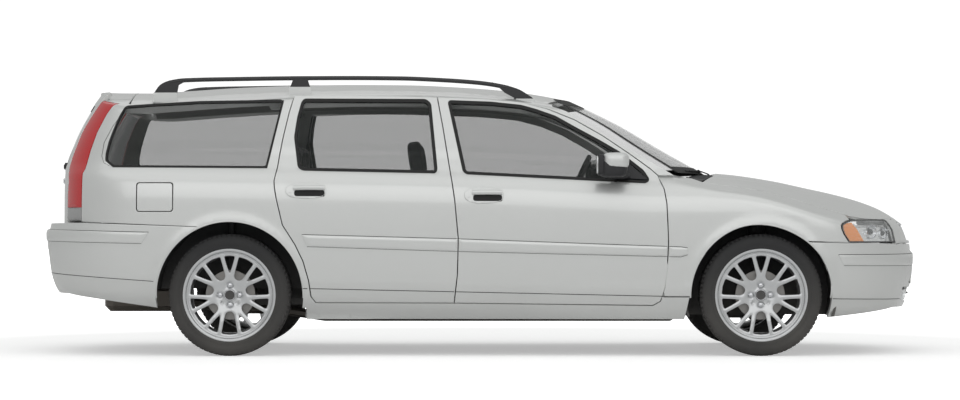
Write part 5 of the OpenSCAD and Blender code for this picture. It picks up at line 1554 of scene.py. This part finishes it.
def wheel_parts():
    """The wheel's face, rim and disc round the origin, outwards towards -y."""
    windows = []
    for k in range(7):
        a = math.radians(k * 360 / 7)
        b = math.radians((k + 0.5) * 360 / 7)
        vee = [[114, 0], [150, 13], [201, 27], [204, 0], [201, -27], [150, -13]]
        bay = [[86, 10], [100, 22], [150, 32], [199, 41], [204, 0], [199, -41], [150, -32],
               [100, -22], [86, -10]]
        for angle, pts, radii in ((a, vee, [7, 60, 8, 0, 8, 60]),
                                  (b, bay, [9, 12, 60, 9, 0, 9, 60, 12, 9])):
            o = rounded(np.array(pts, float), radii)
            o = np.stack([o[:, 1] * math.cos(angle) + o[:, 0] * math.sin(angle),
                          -o[:, 1] * math.sin(angle) + o[:, 0] * math.cos(angle)], 1)
            windows.append(o)
    rim = circle(0, 0, 216, 140)
    windows = [dense(o, 7) for o in windows]
    rings = [circle(0, 0, 212, 120), circle(0, 0, 40, 40), circle(0, 0, 33, 36)]
    v, f = fill([rim], windows, [grow(o, 2.5) for o in windows] + rings, 7.0)
    near = nearest(v, np.concatenate(windows))
    r = np.linalg.norm(v, axis=1)
    out = wheel_dish(r) - 5.0 * np.exp(-near / 7.0) * np.clip((r - 60) / 40, 0, 1)
    out += 5 * np.clip((38 - r) / 5, 0, 1)
    for k in range(4):
        a = math.radians(90 * k)
        d = np.linalg.norm(v - [51 * math.sin(a), 51 * math.cos(a)], axis=1)
        out -= 7 * np.clip((18.5 - d) / 3, 0, 1)
    for a in (137, 223):
        d = np.linalg.norm(v - [57 * math.sin(math.radians(a)), 57 * math.cos(math.radians(a))],
                           axis=1)
        out -= 7 * np.clip((8 - d) / 2, 0, 1)
    sheet = facing((np.stack([v[:, 0], -out, v[:, 1]], 1), f), (0, -1, 0))
    face = thicken(sheet, 20, 2.5)
    rim_profile = [(212, 84), (217, 90), (223, 92), (226, 100), (233, 104.5), (240, 104),
                   (241.5, 100), (240.5, 95), (233, 92), (229, 84), (226, 60), (212, 46),
                   (211, -20), (222, -60), (226, -84), (233, -93), (240.5, -96), (241, -103),
                   (234, -104), (226, -98), (220, -86), (206, -58), (198, -20), (200, 40),
                   (206, 64), (208, 80)]
    rim = ring_solid([(r, -y) for r, y in rim_profile], 128)
    cap = cap_solid([(0, -69), (16, -69), (27, -67.5), (30.5, -64.5), (31, -58), (0, -56)], 64)
    ring = ring_solid([(24, -69.5), (26, -70), (28, -68.5), (27, -66), (24, -66.5)], 64)
    unit = cap_solid([(0, -67), (7, -67), (10.5, -65), (11, -60), (11, -48), (0, -48)], 6)
    nuts = repeated("wheel_nuts", moved(unit, (0, 0, 51)), 4, "chrome", around=90)
    disc = ring_solid([(62, -24), (128, -24), (129, -23), (129, -3), (128, -2), (62, -2), (60, -8),
                       (60, -20)], 96)
    hat = cap_solid([(0, -42), (50, -42), (60, -38), (64, -20), (64, -6), (0, -6)], 64)
    vane = brick((-2, -20, 70), (2, -6, 127), 1.2, 1)
    vanes = repeated("disc_vanes", vane, 36, "iron", around=10)
    return face, rim, cap, ring, nuts, disc, hat, vanes


def tyre_parts():
    """The tyre's body, its tread blocks and the ribs on its sides."""
    side = [(222, 90), (226, 99), (234, 103), (243, 103.5), (246, 105), (252, 105.5), (256, 104.5),
            (266, 105.8), (280, 105.8), (284, 104.6), (294, 101), (303, 95), (309, 87.5), (311, 79),
            (309.5, 74)]
    grooves = []
    for y in (52, 18):
        grooves += [(313, y + 5), (307, y + 3.6), (307, y - 3.6), (313, y - 5)]
    half = side + grooves + [(313.2, 0)]
    loop = half + [(r, -y) for r, y in half[::-1][1:]] + [(216, -70), (214, 0), (216, 70)]
    body = ring_solid(loop, 144)
    block = [turn(brick((-13, 57, 309), (7, 78, 315.6), 1.6, 2), (0, 0, 1), 6, (0, 67, 0)),
             turn(brick((-13, -78, 309), (7, -57, 315.6), 1.6, 2), (0, 0, 1), 6, (0, -67, 0)),
             turn(brick((-10, 23, 310), (11, 47, 316.0), 1.4, 2), (0, 0, 1), 22, (0, 35, 0)),
             turn(brick((-10, -47, 310), (11, -23, 316.0), 1.4, 2), (0, 0, 1), 22, (0, -35, 0)),
             turn(brick((-12, -12.5, 310), (12, 12.5, 316.0), 1.4, 2), (0, 0, 1), -14),
             brick((-5, 79, 303), (4, 92, 310.5), 1.6, 2),
             brick((-5, -92, 303), (4, -79, 310.5), 1.6, 2)]
    tread = repeated("tread", block, 76, "tyre", around=360 / 76)
    rib = brick((-1.2, 103.8, 256), (1.2, 106.0, 266), 0.5, 1)
    ribs = repeated("side_ribs", [rib, mirrored(rib)], 150, "tyre", around=2.4)
    return [body, tread, ribs]


class WAGON_OT_wheels(bpy.types.Operator):
    """Builds the four wheels, tyres and brake discs"""
    bl_idname = "wagon.wheels"
    bl_label = "Wheels"

    def execute(self, context):
        face, rim, cap, ring, nuts, disc, hat, vanes = wheel_parts()
        tyre = tyre_parts()
        for end, x in (("front", FRONT_AXLE), ("rear", REAR_AXLE)):
            for side, sign in SIDES:
                place = (x, -WHEEL_Y * sign, AXLE_Z)
                body = f"wheel_{end}_{side}"

                def at(parts):
                    return [moved(p, place) for p in sided(parts, sign)]
                put(f"{body}_alloy", at([face, rim]), "alloy", body, smooth=42, replaces=[body])
                put(f"{body}_cap", at([cap]), "alloy_dark", body)
                put(f"{body}_ring", at([ring, nuts]), "chrome", body)
                put(f"{body}_disc", at([disc, hat, vanes]), "steel", body)
                put(f"{body}_tyre", at(tyre), "tyre", body, smooth=45,
                    replaces=[f"tyre_{end}_{side}"])
        return {"FINISHED"}


class WAGON_OT_mirrors(bpy.types.Operator):
    """Builds the door mirrors"""
    bl_idname = "wagon.mirrors"
    bl_label = "Mirrors"

    def execute(self, context):
        def egg(u):
            u = u.copy()
            u[:, 2] *= 1 - 0.12 * (u[:, 1] > 0) * np.abs(u[:, 1])
            u[:, 1] += 0.12 * u[:, 0] ** 2
            return u
        cap = pillow((628, -994, 966), (770, -842, 1054), 0.55, 20, 44, egg)
        under = pillow((612, -990, 925), (762, -838, 1020), 0.5, 18, 40, egg)
        shell = pillow((606, -986, 936), (640, -850, 1046), 0.3, 16, 44)
        glass = pillow((602, -978, 945), (612, -858, 1037), 0.3, 14, 40)
        arm = np.array([[690, -868, 944], [700, -845, 934], [735, -822, 930], [770, -808, 936]],
                       float)
        arm = tube(bent(arm, 12), np.linspace(22, 30, 12), 14, flat=0.55)
        sail_shape = unroll(rounded([[875, 913], [730, 1042], [716, 1036], [716, 924]],
                                    [5, 8, 8, 8]), step=8)
        sail = thicken(raised_sheet(flank([sail_shape], [], 14, ring=3), 4, 2), 14, 2)
        for side, sign in SIDES:
            body = f"front_door_{side}"
            put(f"mirror_{side}_cap", sided([cap], sign), "paint", body, smooth=60,
                replaces=[f"mirror_{side}"])
            put(f"mirror_{side}_base", sided([under, shell, arm, sail], sign), "trim", body,
                smooth=60)
            put(f"mirror_{side}_glass", sided([glass], sign), "mirror", body)
        return {"FINISHED"}


class WAGON_OT_rails(bpy.types.Operator):
    """Builds the roof rails"""
    bl_idname = "wagon.rails"
    bl_label = "Roof rails"

    def execute(self, context):
        # The top line of the bar, then the outlines of its three feet and their painted pads
        top = smooth_table([[-1720, 1380], [-1690, 1420], [-1640, 1443], [-1560, 1455],
                            [-1264, 1462], [-954, 1466], [-684, 1467], [-422, 1465], [-220, 1457],
                            [0, 1441], [110, 1424], [200, 1399], [278, 1352]])
        x = np.linspace(-1640, 150, 110)
        path = np.stack([x, np.full(110, -548.0), top(x) - 11.5], 1)
        bar = tube(path, size("rail_radius"), 16, flat=0.72)

        def foot(low, ends, pad):
            xs = np.linspace(*ends, 14)
            upper = np.stack([xs, top(xs) - 1.0], 1)
            return raised(rounded(np.concatenate([upper, low]), 2), -562, -534, 5), raised(pad,
                -566, -530, 6)
        feet = [foot([[-1560, 1436], [-1592, 1418], [-1600, 1375], [-1722, 1375]], (-1716, -1540),
                     [[-1600, 1378], [-1595, 1325], [-1728, 1325], [-1724, 1378]]),
                foot([[-908, 1440], [-896, 1405], [-1004, 1405], [-990, 1440]], (-1000, -898),
                     [[-893, 1408], [-888, 1355], [-1012, 1355], [-1007, 1408]]),
                foot([[284, 1342], [196, 1342], [130, 1378], [92, 1412]], (60, 276),
                     [[288, 1346], [292, 1322], [170, 1330], [192, 1346]])]
        put("roof_rail_bars", both([bar] + [f for f, _ in feet]), "rail", smooth=50,
            replaces=["roof_rails"])
        put("roof_rail_pads", both([p for _, p in feet]), "paint")
        return {"FINISHED"}


class WAGON_OT_cabin(bpy.types.Operator):
    """Builds the seats and finishes the cabin"""
    bl_idname = "wagon.cabin"
    bl_label = "Cabin"

    def execute(self, context):
        def cushion(low, high, power, bolster, axis=2):
            def form(u):
                u = u.copy()
                u[:, axis] += np.clip(u[:, axis], 0, 1) * bolster * np.abs(u[:, 1]) ** 4
                return u
            return pillow(low, high, power, 26, 52, form)
        for side, sign in SIDES:
            y = -370 * sign
            seat = cushion((-190, y - 250, 352), (338, y + 250, 484), 0.38, 0.22)
            back = cushion((-180, y - 238, 405), (-62, y + 238, 995), 0.4, 0.3, 0)
            back = turn(back, (0, 1, 0), -18, (0, y, 245))
            rest = turn(pillow((-268, y - 128, 990), (-188, y + 128, 1163), 0.5, 20, 44), (0, 1, 0),
                        -8, (0, y, 245))
            put(f"front_seat_{side}_cushion", [seat], "cloth",
                replaces=["front_seats"] if side == "right" else ())
            put(f"front_seat_{side}_back", [back], "cloth")
            put(f"front_seat_{side}_rest", [rest], "cloth")
            base = [brick((-150, y - 190, 246), (270, y + 190, 362), 18, 3)]
            for dy in (-60, 60):
                post = np.array([[-338 + 14 * k / 7, y + dy, 905 + 14 * k] for k in range(8)])
                base.append(tube(post, 7, 10))
            lever = brick((-120, y + 205, 330), (90, y + 236, 362), 9, 3)
            put(f"front_seat_{side}_frame", base + [lever], "vinyl")
        for look, nodes in (("cloth", ["rear_bench"]), ("vinyl", ["dashboard"]),
                            ("trim", ["steering_wheel"]),
                            ("under", ["floor_pan", "front_suspension", "rear_suspension",
                                       "fuel_tank",
                                       "knuckle_right", "knuckle_left"]),
                            ("exhaust", ["exhaust"]), ("iron", ["engine_block", "hinges"])):
            for name in nodes:
                refinish(name, look)
        return {"FINISHED"}


class WAGON_OT_studio(bpy.types.Operator):
    """Sets the floor, the lights, the world and the camera"""
    bl_idname = "wagon.studio"
    bl_label = "Studio"

    def execute(self, context):
        scene = context.scene
        look = scene.wagon_look
        mat = bpy.data.materials.new("Studio floor")
        mat.use_nodes = True
        tree = mat.node_tree
        bsdf = tree.nodes["Principled BSDF"]
        here = node(tree, "ShaderNodeTexCoord").outputs["Object"]
        away = node(tree, "ShaderNodeVectorMath", {0: here}, operation="LENGTH").outputs["Value"]
        fade = node(tree, "ShaderNodeMapRange",
                    {"From Min": 3.2, "From Max": 5.5, "Value": away}).outputs[0]
        glow = maths(tree, "MULTIPLY_ADD", fade, 0.9, 0.42)
        seen = node(tree, "ShaderNodeLightPath").outputs["Is Camera Ray"]
        tree.links.new(maths(tree, "MULTIPLY", glow, seen), bsdf.inputs["Emission Strength"])
        for key, value in (("Base Color", (0.86, 0.86, 0.86, 1)), ("Roughness", 0.85),
                           ("Emission Color", (1, 1, 1, 1))):
            bsdf.inputs[key].default_value = value
        bpy.ops.mesh.primitive_plane_add(size=FLOOR_SIZE, location=(0, 0, 0))
        floor = context.object
        floor.name = "studio_floor"
        floor.data.materials.append(mat)
        world = bpy.data.worlds.new("Studio")
        scene.world = world
        world.use_nodes = True
        tree = world.node_tree
        back = tree.nodes["Background"]
        back.inputs["Color"].default_value = (0.95, 0.96, 0.95, 1)
        back.inputs["Strength"].default_value = look.world_light
        white = node(tree, "ShaderNodeBackground",
                     {"Color": (1, 1, 1, 1), "Strength": 1.1}).outputs[0]
        seen = node(tree, "ShaderNodeLightPath").outputs["Is Camera Ray"]
        mix = node(tree, "ShaderNodeMixShader", {0: seen, 1: back.outputs[0], 2: white}).outputs[0]
        tree.links.new(mix, tree.nodes["World Output"].inputs["Surface"])
        for name, place, height, size, power in (
                ("light_top", (0, -2.5, 6.5), 0.6, (12, 6), look.top_light),
                ("light_side", (0.5, -9, 4.6), 0.7, (14, 5), look.side_light),
                ("light_back", (-2, 7, 7.0), 0.8, (10, 3), look.back_light)):
            light = bpy.data.lights.new(name, "AREA")
            light.shape = "RECTANGLE"
            light.size, light.size_y = size
            light.energy = power
            lamp = bpy.data.objects.new(name, light)
            scene.collection.objects.link(lamp)
            lamp.location = place
            lamp.rotation_euler = (Vector((0, 0, height)) - Vector(place)).to_track_quat("-Z",
                "Y").to_euler()
        lens = bpy.data.cameras.new("Camera")
        lens.lens = LENS_LENGTH
        lens.shift_y = LENS_SHIFT
        lens.clip_end = 200
        camera = bpy.data.objects.new("Camera", lens)
        scene.collection.objects.link(camera)
        camera.location = CAMERA_PLACE
        camera.rotation_euler = (math.radians(90), 0, 0)
        scene.camera = camera
        scene.view_settings.view_transform = "Standard"
        return {"FINISHED"}


class WagonSizes(bpy.types.PropertyGroup):
    """The sizes that a user would change"""
    panel_gap: bpy.props.FloatProperty(
        name="Panel gap", description="Width of the gaps between the panels", subtype="DISTANCE",
        unit="LENGTH", default=0.005, min=0.001, max=0.012)
    strip_rise: bpy.props.FloatProperty(
        name="Strip height", description="How far the side mouldings stand out", subtype="DISTANCE",
        unit="LENGTH", default=0.009, min=0.001, max=0.02)
    seam_radius: bpy.props.FloatProperty(
        name="Seam radius", description="Radius of the dark seams along the mouldings",
        subtype="DISTANCE",
        unit="LENGTH", default=0.0014, min=0.0005, max=0.004)
    rail_radius: bpy.props.FloatProperty(
        name="Rail radius", description="Radius of the roof rails' bars", subtype="DISTANCE",
        unit="LENGTH", default=0.016, min=0.008, max=0.03)


class WagonLook(bpy.types.PropertyGroup):
    """The colours and lights that a user would change"""
    paint: bpy.props.FloatVectorProperty(
        name="Paint", description="Colour of the body's paint", subtype="COLOR",
        default=(0.70, 0.71, 0.70), min=0, max=1)
    paint_roughness: bpy.props.FloatProperty(
        name="Paint roughness", description="How dull the paint is below its clear coat",
        subtype="FACTOR",
        default=0.36, min=0.05, max=1)
    glass: bpy.props.FloatVectorProperty(
        name="Glass", description="Colour of the windows", subtype="COLOR",
        default=(0.016, 0.02, 0.018), min=0, max=1)
    glass_tint: bpy.props.FloatProperty(
        name="Glass tint", description="How much light the windows keep out", subtype="FACTOR",
        default=0.27, min=0,
        max=1)
    tail_lamp: bpy.props.FloatVectorProperty(
        name="Tail lamp", description="Colour of the tail lamps", subtype="COLOR",
        default=(0.5, 0.004, 0.008), min=0,
        max=1)
    wheel: bpy.props.FloatVectorProperty(
        name="Wheel", description="Colour of the wheels", subtype="COLOR",
        default=(0.62, 0.63, 0.64), min=0, max=1)
    seat: bpy.props.FloatVectorProperty(
        name="Seat cloth", description="Colour of the seats", subtype="COLOR",
        default=(0.06, 0.062, 0.067), min=0,
        max=1)
    top_light: bpy.props.FloatProperty(
        name="Top light", description="Power of the light above the car", unit="POWER", default=110,
        min=0)
    side_light: bpy.props.FloatProperty(
        name="Side light", description="Power of the light beside the car", unit="POWER",
        default=190, min=0)
    back_light: bpy.props.FloatProperty(
        name="Back light", description="Power of the light behind the car", unit="POWER",
        default=30, min=0)
    world_light: bpy.props.FloatProperty(
        name="World light", description="Strength of the light from all round", subtype="FACTOR",
        default=0.5, min=0,
        max=2)


STEPS = (WAGON_OT_shell, WAGON_OT_doors, WAGON_OT_bonnet, WAGON_OT_glass, WAGON_OT_front,
         WAGON_OT_rear, WAGON_OT_wheels, WAGON_OT_mirrors, WAGON_OT_rails, WAGON_OT_cabin,
         WAGON_OT_studio)


class WAGON_PT_panel(bpy.types.Panel):
    """Lists the steps that build the wagon"""
    bl_idname = "WAGON_PT_panel"
    bl_label = "Station wagon"
    bl_space_type = "VIEW_3D"
    bl_region_type = "UI"
    bl_category = "Wagon"

    def draw(self, context):
        scene = context.scene
        for group, kind in ((scene.wagon_sizes, WagonSizes), (scene.wagon_look, WagonLook)):
            for key in kind.__annotations__:
                self.layout.prop(group, key)
        for step in STEPS:
            self.layout.operator(step.bl_idname)


CLASSES = (WagonSizes, WagonLook, *STEPS, WAGON_PT_panel)


def register():
    """Adds the classes and the properties."""
    for kind in CLASSES:
        bpy.utils.register_class(kind)
    bpy.types.Scene.wagon_sizes = bpy.props.PointerProperty(
        type=WagonSizes, name="Wagon sizes", description="Sizes of the wagon's details")
    bpy.types.Scene.wagon_look = bpy.props.PointerProperty(
        type=WagonLook, name="Wagon look", description="Colours and lights of the wagon")


def unregister():
    """Takes the classes and the properties away."""
    del bpy.types.Scene.wagon_sizes, bpy.types.Scene.wagon_look
    for kind in reversed(CLASSES):
        bpy.utils.unregister_class(kind)


def main():
    """Builds the wagon."""
    register()
    for group, name in (s.bl_idname.split(".") for s in STEPS):
        getattr(getattr(bpy.ops, group), name)()


if __name__ == "__main__":
    main()
